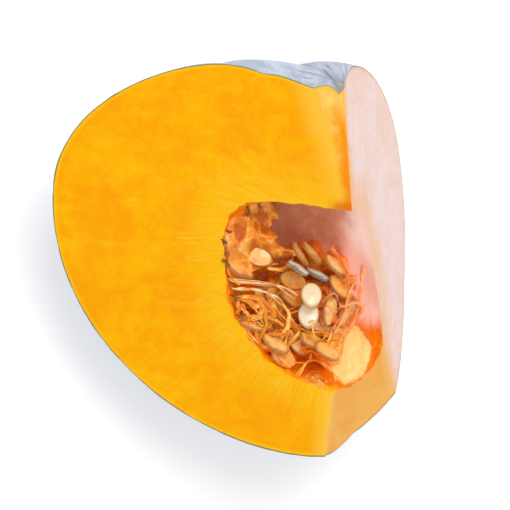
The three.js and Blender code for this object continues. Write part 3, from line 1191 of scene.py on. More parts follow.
def skin_finish(tint: SkinTint) -> Material:
    """Waxy blue-grey rind: bloom, pale streaks along the lobes, darker grooves, flecks and stem lines.

    Args:
        tint: Its colours.

    Returns:
        The material.
    """
    g = Graph(tint.name)
    place = g.places("fruit")
    streaks = g.places("streaks", (1.0, 0.16, 1.0))
    groove = g.attribute("groove")
    from_stem = g.attribute("from_stem")
    from_blossom = g.attribute("from_blossom")
    cloud = g.noise(place, 2.6, 4.0, 0.6, 0.4)
    blotch = g.noise(place, 11.0, 5.0, 0.62, 0.3)
    streak = g.noise(streaks, 1.3, 5.0, 0.62, 0.3)
    grain = g.noise(place, 60.0, 5.0, 0.7)
    fleck = g.spots(place, 34.0)
    pore = g.spots(place, 120.0)
    tone = cloud * 0.4 + blotch * 0.35 + streak * 0.35
    colour = g.mixed(tone.between(0.40, 0.66), tint.dull, tint.bloom)
    colour = g.mixed(groove.between(1.5, 7.5) * 0.5, colour, tint.groove)
    colour = g.mixed(streak.between(0.54, 0.70) * 0.5, colour, tint.streak)
    colour = g.mixed(fleck.between(0.14, 0.05) * 0.5, colour, tint.fleck)
    colour = g.mixed(blotch.between(0.60, 0.74) * 0.4, colour, tint.blotch)
    lines = g.noise(g.places("stem_fan", (9.0, 0.35, 1.0)), 1.0, 4.0, 0.6, 0.2)
    fan = (from_stem + (blotch - 0.5) * 12.0).between(46.0, 18.0)
    colour = g.mixed(lines.between(0.54, 0.62) * fan, colour, tint.stem_lines[0])
    colour = g.mixed(lines.between(0.44, 0.36) * fan * 0.8, colour, tint.stem_lines[1])
    scar = (from_stem + (blotch - 0.5) * 6.0).between(9.0, 4.0)
    colour = g.mixed(scar, colour, g.mixed(lines.between(0.4, 0.6), *tint.scar))
    blossom = (from_blossom + (blotch - 0.5) * 5.0).between(8.0, 5.0)
    colour = g.mixed(blossom, colour, tint.blossom)
    height = grain * 0.3 + blotch * 0.6 + streak * 0.4 - pore.between(0.3, 0.0) * 0.3
    height = height + lines * fan * 1.2
    normal = g.bump(height, 0.0012, 0.6)
    rough = 0.46 + blotch * 0.22
    return g.finish(
        colour, rough, normal, Specular_IOR_Level=0.35, Coat_Weight=0.06, Coat_Roughness=0.4
    )


@dataclass(frozen=True)
class SeedTint:
    """Colours of one kind of seed coat: body, brightest part, rim and stain."""

    name: str
    body: Colour
    bright: Colour
    rim: Colour
    stain: Colour
    stained: float = 0.5
    rim_from: float = 0.74


SEED_TINTS = {
    "cream": SeedTint(
        "cream_seed",
        body=srgb(250, 226, 184),
        bright=srgb(255, 246, 224),
        rim=srgb(214, 158, 96),
        stain=srgb(250, 196, 120),
        stained=0.25,
    ),
    "golden": SeedTint(
        "golden_seed",
        body=srgb(246, 172, 66),
        bright=srgb(253, 210, 130),
        rim=srgb(172, 90, 20),
        stain=srgb(245, 140, 22),
        stained=0.85,
    ),
    "green": SeedTint(
        "green_seed",
        body=srgb(234, 230, 212),
        bright=srgb(255, 253, 244),
        rim=srgb(98, 92, 70),
        stain=srgb(160, 152, 124),
        stained=0.5,
        rim_from=0.84,
    ),
}


def seed_finish(tint: SeedTint) -> Material:
    """Seed coat: darker rim, satin body, wet gloss and stains of pulp.

    Args:
        tint: Its colours.

    Returns:
        The material.
    """
    g = Graph(tint.name)
    place = g.object_places()
    rim = g.attribute("rim")
    shade = g.attribute("tint")
    blotch = g.noise(place, 150.0, 4.0, 0.6, 0.4)
    fine = g.noise(place, 620.0, 3.0, 0.6)
    colour = g.mixed((shade + (blotch - 0.5)).between(0.2, 0.8), tint.body, tint.bright)
    colour = g.mixed(blotch.between(0.50, 0.66) * tint.stained, colour, tint.stain)
    colour = g.mixed((rim + (blotch - 0.5) * 0.3).between(tint.rim_from, 0.98) * 0.85, colour, tint.rim)
    normal = g.bump(fine * 0.4 + blotch * 0.6, 0.0005, 0.5)
    rough = 0.22 + blotch * 0.2
    return g.finish(
        colour, rough, normal, Specular_IOR_Level=0.5, Coat_Weight=0.5, Coat_Roughness=0.12
    )


@dataclass(frozen=True)
class PulpTint:
    """Colours of one kind of pulp and how wet it is."""

    name: str
    dark: Colour
    middle: Colour
    light: Colour
    wet: float


PULP_TINTS = {
    "bed": PulpTint(
        "wet_pulp", srgb(224, 110, 2), srgb(250, 142, 12), srgb(254, 190, 80), wet=0.35
    ),
    "pale": PulpTint(
        "pale_strand", srgb(240, 160, 70), srgb(252, 204, 136), srgb(255, 236, 200), wet=0.25
    ),
    "orange": PulpTint(
        "orange_strand", srgb(228, 122, 6), srgb(252, 158, 24), srgb(255, 206, 106), wet=0.25
    ),
    "membrane": PulpTint(
        "pulp_membrane", srgb(196, 98, 12), srgb(248, 150, 32), srgb(254, 200, 110), wet=0.25
    ),
    "red": PulpTint(
        "red_pulp", srgb(238, 118, 26), srgb(251, 148, 66), srgb(254, 190, 134), wet=0.25
    ),
    "straw": PulpTint(
        "straw_fibre", srgb(248, 186, 60), srgb(253, 212, 100), srgb(255, 240, 176), wet=0.1
    ),
    "torn": PulpTint(
        "torn_edge", srgb(96, 52, 20), srgb(146, 86, 40), srgb(206, 130, 60), wet=0.1
    ),
}


def pulp_finish(tint: PulpTint) -> Material:
    """Stringy pulp: streaks of three tones, wet on top.

    Args:
        tint: Its colours.

    Returns:
        The material.
    """
    g = Graph(tint.name)
    place = g.object_places()
    shade = g.attribute("shade")
    cloud = g.noise(place, 90.0, 4.0, 0.6, 0.8)
    string = g.noise(g.object_places((1.0, 1.0, 0.4)), 420.0, 4.0, 0.62, 0.6)
    # The shade value is painted shade on the bed and the flap, darker in valleys and round seeds; on
    # strands, fibres and tips it is their own tone.
    colour = g.mixed((cloud * 0.6 + shade * 0.5).between(0.3, 0.6), tint.dark, tint.middle)
    colour = g.mixed((string * 0.6 + shade * 0.4).between(0.46, 0.72), colour, tint.light)
    normal = g.bump(string * 0.6 + cloud * 0.6, 0.0008, 0.8)
    rough = 0.34 + string * 0.3
    return g.finish(
        colour, rough, normal, Specular_IOR_Level=0.35, Coat_Weight=tint.wet, Coat_Roughness=0.15
    )


# ---------------------------------------------------------------- the wedge


@dataclass(frozen=True)
class Wedge:
    """The quarter of rind and flesh, as rays from the corner that the three cuts share.

    Every ray leaves the corner inside the cavity, enters the flesh at the lining and leaves it at the
    skin or at the bevel, so the inner and outer surfaces are two grids on the same rays, and each cut
    face is ruled between them along one border of the grids.
    """

    bevel_rows: int = 26
    skin_rows: int = 168
    columns: int = 140
    depth_steps: int = 58
    steepest_bevel: float = 0.6
    knife_waves: tuple[Span, ...] = ((1.1, 46.0), (0.5, 17.0), (0.22, 5.0), (0.16, 1.9))
    knife_wave: float = 0.55
    lining_relief: float = 1.1
    skin_relief: float = 0.35
    smooth_above: Span = (-14.0, 4.0)
    stringy_beside: Span = (20.0, 30.0)
    mouth_fade: Span = (12.0, 22.0)
    sharp: float = 28.0

    def outer(self) -> tuple[Array, Array]:
        """The outside, on rays from the corner.

        The fall at which the bevel meets the skin is found by halving for each swing. Rows above it
        lie on the bevel, and rows below it on the skin, down to the under cut. The flat spot is a
        plane that cuts off the lowest of them.

        Returns:
            The rays of the grid, and the distance along each.
        """
        swing = CUTS.opening * np.arange(self.columns + 1) / self.columns
        swing[-1] = CUTS.opening
        low, high = np.zeros_like(swing), np.full_like(swing, self.steepest_bevel)
        for _ in range(HALVINGS):
            fall = (low + high) / 2
            ray = CUTS.ray(fall, swing)
            past = (ray @ CUTS.bevel) * reach_of_skin(ray) < CUTS.bevel_passes
            high, low = np.where(past, fall, high), np.where(past, low, fall)
        crease_ray = CUTS.ray(high, swing)
        crease = crease_ray * reach_of_skin(crease_ray)[:, None]
        tip = CUTS.edge * CUTS.bevel_passes / float(CUTS.edge @ CUTS.bevel)
        share = (np.arange(self.bevel_rows + 1) / self.bevel_rows)[:, None, None]
        bevel = tip + (crease - tip) * share
        down = (np.arange(1, self.skin_rows + 1) / self.skin_rows)[:, None]
        fall = high + (CUTS.lowest_fall(swing) - high) * down
        rays = CUTS.ray(fall, np.broadcast_to(swing, fall.shape))
        far = reach_of_skin(rays)
        places = CUTS.corner + rays * far[..., None]
        relief = 0.6 * fractal(places, 14.0, 11, 3) + 0.4 * noise(places, 3.5, 21)
        far = far + self.skin_relief * relief * ease(down * self.skin_rows, 0.0, 5.0)
        lowest = (CUTS.corner + rays * far[..., None]) @ REST.down
        level = lowest.max() - REST.flat_depth
        floor = (level - CUTS.corner @ REST.down) / np.maximum(rays @ REST.down, 1e-6)
        far = np.minimum(far, floor)
        places = np.concatenate([bevel, rays * far[..., None]])
        return unit(places), np.linalg.norm(places, axis=-1)

    def inner(self, rays: Array) -> Array:
        """The cavity, with strings and pits that fade out towards the roof and the mouth.

        Args:
            rays: Rays of the grid.

        Returns:
            The distance along each to the lining.
        """
        near = reach_of_lining(rays)
        places = CUTS.corner + rays * near[..., None]
        local = NEST.local(places)
        wild = ease(-local[..., 1] + 6 * noise(places, 9.0, 5), *self.smooth_above)
        wild = np.maximum(wild, 2.0 * ease(-local[..., 0], *self.stringy_beside))
        strings = ridges(places * np.array([1.0, 1.0, 0.45]), 4.2, 31) - 0.4
        relief = (0.25 + 0.75 * wild) * (0.9 * strings + 0.6 * fractal(places, 6.0, 41, 3))
        return near + self.lining_relief * relief * ease(near, *self.mouth_fade)

    def face(
        self, inner: Array, outer: Array, rays: Array, normal: Array, others: list[Array]
    ) -> Array:
        """One cut face between the lining and the skin, with the slow waves that a knife leaves.

        The waves move it along its normal and fade out at its own border.

        Args:
            inner: Distances to the lining along the face's rays.
            outer: Distances to the skin.
            rays: The face's rays.
            normal: Its outward normal.
            others: Normals of the other two cuts.

        Returns:
            A grid of places.
        """
        share = (np.arange(self.depth_steps + 1) / self.depth_steps)[:, None]
        reach = inner + (outer - inner) * share
        places = CUTS.corner + rays * reach[..., None]
        free = ease(np.minimum(reach - inner, outer - reach), 0.0, 7.0)
        for other in others:
            free = free * ease(-(places - CUTS.corner) @ other, 0.0, 9.0)
        waves = enumerate(self.knife_waves)
        wave = sum(height * noise(places, size, 51 + k) for k, (height, size) in waves)
        return places + (self.knife_wave * wave * free)[..., None] * normal

    @staticmethod
    def attributes(points: Array) -> dict[str, Array]:
        """What the finishes read: depths, angles and places in the fruit.

        Args:
            points: Places in the fruit.

        Returns:
            Named values and vectors for each point.
        """
        fall, swing, far = CUTS.ray_angles(points)
        units = unit(points)
        bearing = np.degrees(np.arctan2(points[:, 1], points[:, 0]))
        polar = np.degrees(np.arccos(np.clip(units[:, 2], -1, 1)))
        local = NEST.local(points)
        arc = np.radians(bearing) * 6.0
        behind = {cut: -(points - CUTS.corner) @ normal for cut, normal in CUTS.normals.items()}
        behind[Cut.BEVEL] += CUTS.bevel_passes
        nearest = np.sort(np.abs(np.stack(list(behind.values()))), axis=0)
        return {
            "rind": SKIN.depth(points),
            "hollow": HOLLOW.depth(points),
            "groove": SKIN.groove_depth(bearing, polar),
            "crease": nearest[1],
            "behind": behind[Cut.FRONT],
            "beside": behind[Cut.SIDE],
            "from_stem": STEM.away(points),
            "from_blossom": BLOSSOM.away(points),
            "stem_fan": STEM.fan(points),
            "across": local[:, 0],
            "upward": local[:, 1],
            "fruit": points / 100.0,
            "rays": np.stack([fall, swing, far / 100.0], axis=-1),
            "streaks": np.stack([arc, np.radians(polar) * 6.0, far / 100.0], axis=-1),
        }

    def build(self, finishes: list[Material]) -> Piece:
        """Makes the wedge.

        Args:
            finishes: Materials in the order of Cut.

        Returns:
            The Blender object.
        """
        rays, outer = self.outer()
        inner = self.inner(rays)
        skin = CUTS.corner + rays * outer[..., None]
        lining = CUTS.corner + rays * inner[..., None]
        Stand.match(skin[self.bevel_rows :].reshape(-1, 3) @ TURN.T, "wedge")
        work = Patchwork()
        split = self.bevel_rows
        work.grid(skin[: split + 1], CUTS.bevel, Cut.BEVEL.value)
        work.grid(skin[split:], rays[split:], Cut.SKIN.value)
        work.grid(lining, -rays, Cut.LINING.value)
        front, side, under = CUTS.front, CUTS.side, CUTS.under
        edges = (
            (inner[:, 0], outer[:, 0], rays[:, 0], front, [side, under], Cut.FRONT),
            (inner[:, -1], outer[:, -1], rays[:, -1], side, [front, under], Cut.SIDE),
            (inner[-1], outer[-1], rays[-1], under, [front, side], Cut.UNDER),
        )
        for near, far, ray, normal, others, cut in edges:
            work.grid(self.face(near, far, ray, normal, others), normal, cut.value)
        return work.made("pumpkin_wedge", finishes, self.sharp, self.attributes)


# ---------------------------------------------------------------- seeds


@dataclass(frozen=True)
class Seed:
    """A flat oval seed with a blunt point, a raised rim and a slightly puffed middle."""

    around: int = 56
    across: int = 12
    point: float = 0.2
    rim_at: float = 0.84
    rim_width: float = 0.10
    rim_height: float = 0.16
    warp: float = 0.35
    stretch: Span = (1.0, 1.0)
    puff: float = 1.0
    sharp: float = 70.0

    @staticmethod
    def pose(node: str) -> Pose:
        """Centre, axes and sizes of a CAD seed, in the fruit.

        The axes are the directions in which its corners spread. Length points to the end where the
        corners stand wider apart, and thickness points out of the cavity.

        Args:
            node: The CAD node.

        Returns:
            Its centre, its axes as rows (width, length, thickness), and its half sizes.
        """
        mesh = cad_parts[node].data
        flat = np.empty(len(mesh.vertices) * 3, np.float32)
        mesh.vertices.foreach_get("co", flat)
        corners = np.unique(np.round(flat.reshape(-1, 3).astype(float), 6), axis=0)
        corners = Stand.to_fruit(corners)
        centre = corners.mean(axis=0)
        _, _, axes = np.linalg.svd(corners - centre)
        spread = (corners - centre) @ axes.T
        half = np.abs(spread).max(axis=0)
        order = np.argsort(half)[::-1]
        length, width, thick = axes[order]
        along = (corners - centre) @ length
        wide = np.abs((corners - centre) @ width)
        if wide[along < -1].mean() < wide[along > 1].mean():
            length = -length
        if thick @ NEST.axes[2] < 0:
            thick = -thick
        width = np.cross(length, thick)
        return centre, np.array([width, length, thick]), half[order][[1, 0, 2]]

    def build(self, name: str, node: str, index: int, finish: Material) -> Piece:
        """Makes one seed on the place of its CAD node.

        The outline is an oval drawn in towards its point. Half the thickness is (1 - v^2)^0.55 at the
        share v of the way from the middle to the outline, plus a bell at the rim.

        Args:
            name: Name of the piece.
            node: CAD node it stands for.
            index: Which seed, for its own unevenness.
            finish: Its material.

        Returns:
            The Blender object.
        """
        centre, axes, half = self.pose(node)
        angle = 2 * math.pi * np.arange(self.around) / self.around
        share = np.linspace(0, 1, self.across + 1) ** 0.8
        v = share[:, None]
        long = -np.cos(angle)
        wide = np.sin(angle) * (1 - self.point * (0.5 - 0.5 * long) ** 2)
        puff = np.maximum(1 - v**2.0, 0) ** 0.55 * (0.92 + 0.1 * np.cos(angle))
        rim = self.rim_height * bell(v, self.rim_at, self.rim_width)
        thick = np.where(v < 1, puff + rim, 0.0)
        work = Patchwork()
        for side in (1.0, -1.0):
            flat = [wide * v * half[0] * self.stretch[0], long * v * half[1] * self.stretch[1]]
            local = np.stack([*flat, side * thick * half[2] * self.puff], axis=-1)
            seeded = local + 40.0 * index
            bend = self.warp * (noise(seeded, 7.0, 61) + 0.4 * noise(seeded, 2.6, 62))
            keep = 1 - 0.6 * v[..., None] ** 6
            local = local + np.array([0.2, 0.2, 1.0]) * bend[..., None] * keep
            places = centre + local @ axes
            way = side * axes[2]
            tint = 0.5 + 0.5 * noise(np.array([index * 3.7, 0.4, 0.2]), 1.0, 63)
            work.grid(places, way, wrap=True, rim=v + 0 * wide, tint=tint + 0.1 * bend)
        return work.made(name, [finish], self.sharp)


SEED_KINDS = {"seed_01": "cream", "seed_02": "cream", "seed_07": "green", "seed_08": "green"}
SEED_SHAPES = {"cream": Seed(stretch=(1.12, 0.94), puff=1.45, rim_height=0.06)}
POCKET_SEEDS = ("seed_16", "seed_17")


# ---------------------------------------------------------------- pulp


@dataclass(frozen=True)
class PulpBed:
    """The wet mass under and between the seeds: an oval sheet against the back of the cavity."""

    reach: float = 48.0
    cells: int = 215
    middle: Span = (-2.0, -10.0)
    radii: Span = (31.0, 24.0)
    rim: Span = (0.85, 1.25)
    base: float = -25.0
    crown: float = 3.0
    wall: float = -56.0
    mound_width: float = 6.5
    mound_fall: float = 10.0
    sinks_below: Span = (8.0, 20.0)
    fans_from: Span = (-44.0, -18.0)
    skin_depth: float = 6.0

    def build(self, seeds: list[Pose], finish: Material) -> Piece:
        """Makes the bed.

        Its height is a low dome with stringy ridges inside an oval, and falls steeply to the wall
        outside it. A paraboloid under each seed lifts it to the seed's back. The sheet is drawn back
        behind the cuts and into the lining, and closed by a second sheet behind it.

        Args:
            seeds: Centre, axes and half sizes of each seed.
            finish: Its material.

        Returns:
            The Blender object.
        """
        line = np.linspace(-self.reach, self.reach, self.cells)
        across, up = np.meshgrid(line, line, indexing="ij")
        flat = np.stack([across, up, np.zeros_like(up)], axis=-1)
        aside = (across - self.middle[0]) / self.radii[0]
        oval = np.hypot(aside, (up - self.middle[1]) / self.radii[1])
        inside = 1 - ease(oval + 0.16 * noise(flat, 9.0, 70), *self.rim)
        dome = self.base + self.crown * (1 - oval**2)
        height = self.wall + (dome - self.wall) * inside
        nearest = np.full_like(across, 99.0)
        for centre, axes, half in seeds:
            at = NEST.local(centre)
            depth = float(np.abs(axes @ NEST.axes[2]) @ half)
            away = np.hypot(across - at[0], up - at[1]) + 1.4 * noise(flat, 4.5, 77)
            sunk = float(ease(-at[1], *self.sinks_below))
            back = at[2] - (0.45 * depth + 1.2) * (1 - sunk) + 0.5 * sunk
            height = np.maximum(height, back - self.mound_fall * (away / self.mound_width) ** 2)
            nearest = np.minimum(nearest, away + 9.0 * sunk)
        free = 0.4 + 0.6 * ease(nearest, 4.0, 9.0)
        level = np.array([1.0, 1.0, 0.0])
        swirl = flat + 6.0 * wander(flat, 18.0, 71) * level
        angle = np.arctan2(up - self.fans_from[1], across - self.fans_from[0])
        strings = np.stack([angle * 40.0, oval * 6.0, 0 * up], axis=-1) + 0.35 * swirl
        relief = 2.0 * (ridges(strings, 4.6, 73) - 0.35) + 1.8 * (ridges(swirl, 5.2, 74) - 0.35)
        height += free * (relief + 0.9 * fractal(flat, 4.0, 75))
        height += 0.9 * (ridges(swirl, 2.4, 76) - 0.4)
        under = height - self.skin_depth
        top = keep_in_hollow(NEST.place(np.stack([across, up, height], axis=-1)), 1.6)
        low = keep_in_hollow(NEST.place(np.stack([across, up, under], axis=-1)), 3.0)
        # Painted shade: darker in the valleys of the relief and round each seed, lighter on the crests.
        shade = np.clip(0.25 + 0.22 * relief + 0.3 * free, 0, 1)
        work = Patchwork()
        work.grid(top, NEST.axes[2], shade=shade)
        work.grid(low, -NEST.axes[2], shade=shade)
        for here in (np.s_[0, :], np.s_[-1, :], np.s_[:, 0], np.s_[:, -1]):
            border = np.stack([top[here], low[here]])
            work.grid(border, border - NEST.origin, shade=np.stack([shade[here]] * 2))
        return work.made("pulp_mass", [finish])


@dataclass(frozen=True)
class Route:
    """The knots of one strand in steps of the nest, with its thickness and finish."""

    knots: tuple[tuple[float, float, float], ...]
    radius: float = 0.9
    tint: str = "orange"


ROUTES = (
    Route(
        ((-2.5, 0.4, -0.2), (-1.35, 0.42, -0.5), (-0.75, 0.34, -0.66),
         (-0.2, 0.06, -0.72)),
        radius=0.6,
        tint="pale",
    ),
    Route(
        ((-2.4, 0.12, -0.22), (-1.5, 0.18, -0.5), (-0.95, 0.04, -0.66),
         (-0.5, -0.34, -0.84)),
        radius=0.6,
        tint="pale",
    ),
    Route(
        ((-2.3, -0.16, -0.2), (-1.5, -0.1, -0.42), (-1.3, -0.42, -0.46),
         (-1.5, -0.7, -0.5), (-2.1, -0.9, -0.4)),
        radius=1.1,
    ),
    Route(
        ((-1.1, -0.16, -0.72), (-0.7, -0.56, -0.8), (-0.16, -1.0, -0.86)),
    ),
    Route(
        ((-1.24, -0.34, -0.74), (-0.86, -0.8, -0.8), (-0.3, -1.16, -0.84)),
    ),
    Route(
        ((-1.7, -0.66, -0.6), (-1.0, -0.72, -0.7), (-0.56, -0.98, -0.8)),
    ),
    Route(
        ((1.7, 0.9, -1.2), (1.5, 0.3, -0.76), (1.36, -0.36, -0.78),
         (1.0, -1.1, -0.78)),
        radius=0.75,
        tint="red",
    ),
    Route(
        ((1.9, 1.2, -1.3), (1.84, 0.4, -0.96), (1.72, -0.5, -0.96),
         (1.3, -1.4, -0.86)),
        radius=0.75,
        tint="red",
    ),
    Route(
        ((0.8, 1.7, -1.3), (1.3, 1.0, -0.9), (1.36, 0.5, -0.72)),
        radius=0.75,
        tint="red",
    ),
    Route(
        ((-2.1, -1.0, -0.3), (-1.5, -1.5, -0.6), (-0.8, -1.8, -0.76),
         (-0.3, -2.3, -0.6)),
        radius=0.7,
    ),
    Route(
        ((-0.1, -2.6, -0.5), (0.3, -2.0, -0.76), (0.9, -2.1, -0.7),
         (1.3, -2.6, -0.5)),
        radius=0.6,
    ),
    Route(
        ((-1.9, 2.3, -0.3), (-1.56, 1.9, -0.6), (-1.2, 1.5, -0.86)),
    ),
    Route(
        ((-1.2, 0.9, -0.86), (-0.7, 0.9, -0.9), (-0.4, 1.24, -1.0)),
    ),
    Route(
        ((-0.5, -0.5, -1.0), (-0.24, -0.9, -0.96), (0.0, -1.1, -0.94)),
    ),
)


@dataclass(frozen=True)
class Strand:
    """A thick strand of pulp: a cord and the threads that peel off it."""

    steps: int = 44
    threads: int = 4
    thinner: Span = (0.25, 0.5)
    drifts: Span = (0.6, 1.8)
    twist: float = 5.0

    def build(self, index: int, route: Route, finish: Material) -> Piece:
        """Makes one strand.

        Args:
            index: Its number, from 0.
            route: Where it runs.
            finish: Its material.

        Returns:
            The Blender object.
        """
        path = spline(NEST.place(np.array(route.knots) * NEST.step), self.steps)
        along = np.linspace(0, 1, self.steps)
        close = rounded_ends(along, 7)
        work = Patchwork()
        rng = np.random.default_rng(900 + index)
        for thread in range(self.threads):
            main = thread == 0
            size = route.radius * (1.0 if main else rng.uniform(*self.thinner))
            drift = 0.0 if main else rng.uniform(*self.drifts)
            phase = rng.uniform(0, 2 * math.pi)
            wobble = (0.9 + 0.8 * (not main)) * wander(path + 50.0 * thread, 9.0, 81)
            twist = phase + self.twist * along
            side = np.cos(twist)[:, None] * NEST.axes[1] + np.sin(twist)[:, None] * NEST.axes[2]
            line = path + wobble + drift * side * (0.35 + along[:, None] ** 2)
            swell = 1 + 0.35 * noise(path + 90.0 * thread, 5.0, 85) + 0.5 * bell(along, 0.0, 0.16)
            kept = keep_in_hollow(line, 1.0, 0.4 + 2.0 * size)
            rings = tube(kept, size * swell * close, 10, 0.8)
            shade = 0.5 + 0.5 * noise(rings, 3.0, 86)
            work.grid(rings, wrap=True, shade=shade)
        return work.made(f"pulp_strand_{index + 1:02d}", [finish])


@dataclass(frozen=True)
class Membrane:
    """The torn flap of pulp at the upper left: a ruffled sheet between two borders, with pockets."""

    outer: tuple[Span, ...] = (
        (-24.0, 56.0),
        (-38.0, 46.0),
        (-45.0, 36.0),
        (-46.0, 25.0),
        (-45.0, 15.0),
        (-41.0, 9.0),
        (-36.0, 5.0),
    )
    inner: tuple[Span, ...] = (
        (-19.0, 50.0),
        (-19.0, 39.0),
        (-17.5, 30.5),
        (-8.5, 24.5),
        (-18.0, 17.5),
        (-26.0, 12.5),
        (-33.0, 7.0),
    )
    depths: Span = (-3.5, -13.5)
    columns: int = 150
    rows: int = 70
    thickness: float = 1.3
    pocket: Span = (6.5, 11.0)

    def build(self, seeds: list[Pose], finish: Material) -> Piece:
        """Makes the flap.

        It is ruled from the outer border to the inner one, ruffled by noise and ridges, and drawn in
        to each seed with a raised ring round it. Two such sheets close on each other at the edges.

        Args:
            seeds: Centre, axes and half sizes of each seed.
            finish: Its material.

        Returns:
            The Blender object.
        """
        borders = (np.array(border) for border in (self.outer, self.inner))
        outer, inner = (spline(border, self.columns) for border in borders)
        share = np.linspace(0, 1, self.rows)[:, None, None]
        along = np.linspace(0, 1, self.columns)
        line = np.stack([along * 60, 0 * along, 0 * along], axis=-1)
        torn = 1 + 0.30 * noise(line, 4.0, 91)[:, None]
        plan = outer + (inner - outer) * share * torn
        flat = np.concatenate([plan, np.zeros((*plan.shape[:-1], 1))], axis=-1)
        fold = ridges(flat, 13.0, 94) - 0.4
        crease = ridges(flat + 3.0 * noise(flat, 8.0, 97)[..., None], 5.5, 98) - 0.4
        lift = 2.6 * noise(flat, 14.0, 93) + 3.4 * fold + 1.5 * crease + 0.7 * fractal(flat, 3.0, 95)
        height = self.depths[0] + (self.depths[1] - self.depths[0]) * share[..., 0] + lift
        for centre, _, _ in seeds:
            at = NEST.local(centre)
            away = np.hypot(plan[..., 0] - at[0], plan[..., 1] - at[1])
            under = at[2] - 1.2 - 0.3 * (plan[..., 0] - at[0]) + 2.0 * bell(away, 7.6, 2.0)
            height = height + (under - height) * (1 - ease(away, *self.pocket))
        edge = np.minimum(share[..., 0], 1 - share[..., 0]) * 2
        edge = edge * (1 - np.abs(2 * along - 1) ** 12)
        half = self.thickness / 2 * np.clip(edge * 12, 0, 1) ** 0.5
        # Painted shade: lighter on the folds' crests and darker in the creases.
        shade = np.clip(0.35 + 0.5 * fold + 0.7 * crease, 0, 1)
        work = Patchwork()
        for side in (1.0, -1.0):
            local = np.concatenate([plan, (height + side * half)[..., None]], axis=-1)
            places = keep_in_hollow(NEST.place(local), 1.0)
            work.grid(places, side * NEST.axes[2], shade=shade)
        return work.made("pulp_flap", [finish])


@dataclass(frozen=True)
class Fibres:
    """Threads that run from the lining into the nest. Angles and places are in the nest's own axes."""

    name: str
    tint: str
    count: int
    seed: int
    radius: Span
    start_angle: Span
    start_reach: Span
    end_centre: Span
    end_spread: float
    height: Span
    arch: Span
    curl: float = 1.3
    steps: int = 16
    sides: int = 5
    flatness: float = 1.0

    def build(self, finish: Material) -> Piece:
        """Makes the threads: each is a spline from the wall, over an arch, to a place in the nest.

        Args:
            finish: Its material.

        Returns:
            The Blender object.
        """
        rng = np.random.default_rng(self.seed)
        n = self.count
        angle = np.radians(rng.uniform(*self.start_angle, n))
        reach = rng.uniform(*self.start_reach, n)
        wall = [reach * np.cos(angle), reach * np.sin(angle), rng.uniform(*self.height, n)]
        start = np.stack(wall, axis=-1)
        plan = np.array(self.end_centre) + rng.normal(0, self.end_spread, (n, 2))
        end = np.concatenate([plan, rng.uniform(*self.height, (n, 1))], axis=-1)
        middle = (start + end) / 2 + rng.normal(0, 2 * self.curl, (n, 3))
        middle[:, 2] += rng.uniform(*self.arch, n)
        before = (start + middle) / 2 + rng.normal(0, self.curl, (n, 3))
        after = (middle + end) / 2 + rng.normal(0, self.curl, (n, 3))
        knots = np.stack([start, before, middle, after, end], axis=1)
        paths = spline(NEST.place(knots), self.steps)
        paths += 0.7 * wander(paths, 4.0, 101)
        along = np.linspace(0, 1, self.steps)
        radii = rng.uniform(*self.radius, (n, 1)) * rounded_ends(along, 5) * (1 - 0.5 * along)
        kept = keep_in_hollow(paths, 1.2, 0.4 + self.radius[1])
        rings = tube(kept, radii, self.sides, self.flatness)
        shade = np.broadcast_to(rng.uniform(0, 1, (n, 1, 1)), rings.shape[:-1])
        work = Patchwork()
        work.grid(rings, wrap=True, shade=shade)
        return work.made(self.name, [finish])


FIBRES = (
    Fibres(
        "fibres_left", "orange", count=36, seed=1, radius=(0.14, 0.36),
        start_angle=(185, 235), start_reach=(32, 46),
        end_centre=(-16, -8), end_spread=7,
        height=(-24, -12), arch=(0, 4),
    ),
    Fibres(
        "fibres_below", "straw", count=44, seed=2, radius=(0.07, 0.17),
        start_angle=(266, 290), start_reach=(46, 53),
        end_centre=(7, -47), end_spread=4,
        height=(-12, -6), arch=(0, 2),
        curl=1.4,
    ),
    Fibres(
        "fibres_right", "red", count=26, seed=3, radius=(0.16, 0.4),
        start_angle=(-40, 40), start_reach=(22, 34),
        end_centre=(14, -2), end_spread=6,
        height=(-26, -18), arch=(0, 3),
    ),
    Fibres(
        "fibres_above", "orange", count=26, seed=4, radius=(0.12, 0.3),
        start_angle=(60, 150), start_reach=(20, 30),
        end_centre=(-6, 12), end_spread=7,
        height=(-27, -20), arch=(0, 3),
    ),
    Fibres(
        "pulp_loops", "orange", count=20, seed=5, radius=(0.9, 1.7),
        start_angle=(180, 232), start_reach=(28, 42),
        end_centre=(-17, -8), end_spread=6,
        height=(-20, -11), arch=(4, 9),
        curl=2.6, steps=30, sides=10, flatness=0.6,
    ),
    Fibres(
        "pulp_cords", "red", count=30, seed=16, radius=(1.1, 2.2),
        start_angle=(-34, 36), start_reach=(20, 29),
        end_centre=(17, 0), end_spread=5,
        height=(-27, -21), arch=(2, 5),
        curl=2.6, steps=26, sides=10, flatness=0.5,
    ),
    Fibres(
        "pulp_knots", "orange", count=34, seed=7, radius=(0.6, 1.4),
        start_angle=(225, 330), start_reach=(20, 32),
        end_centre=(2, -16), end_spread=9,
        height=(-24, -16), arch=(1, 5),
        curl=2.4, steps=26, sides=10,
    ),
)


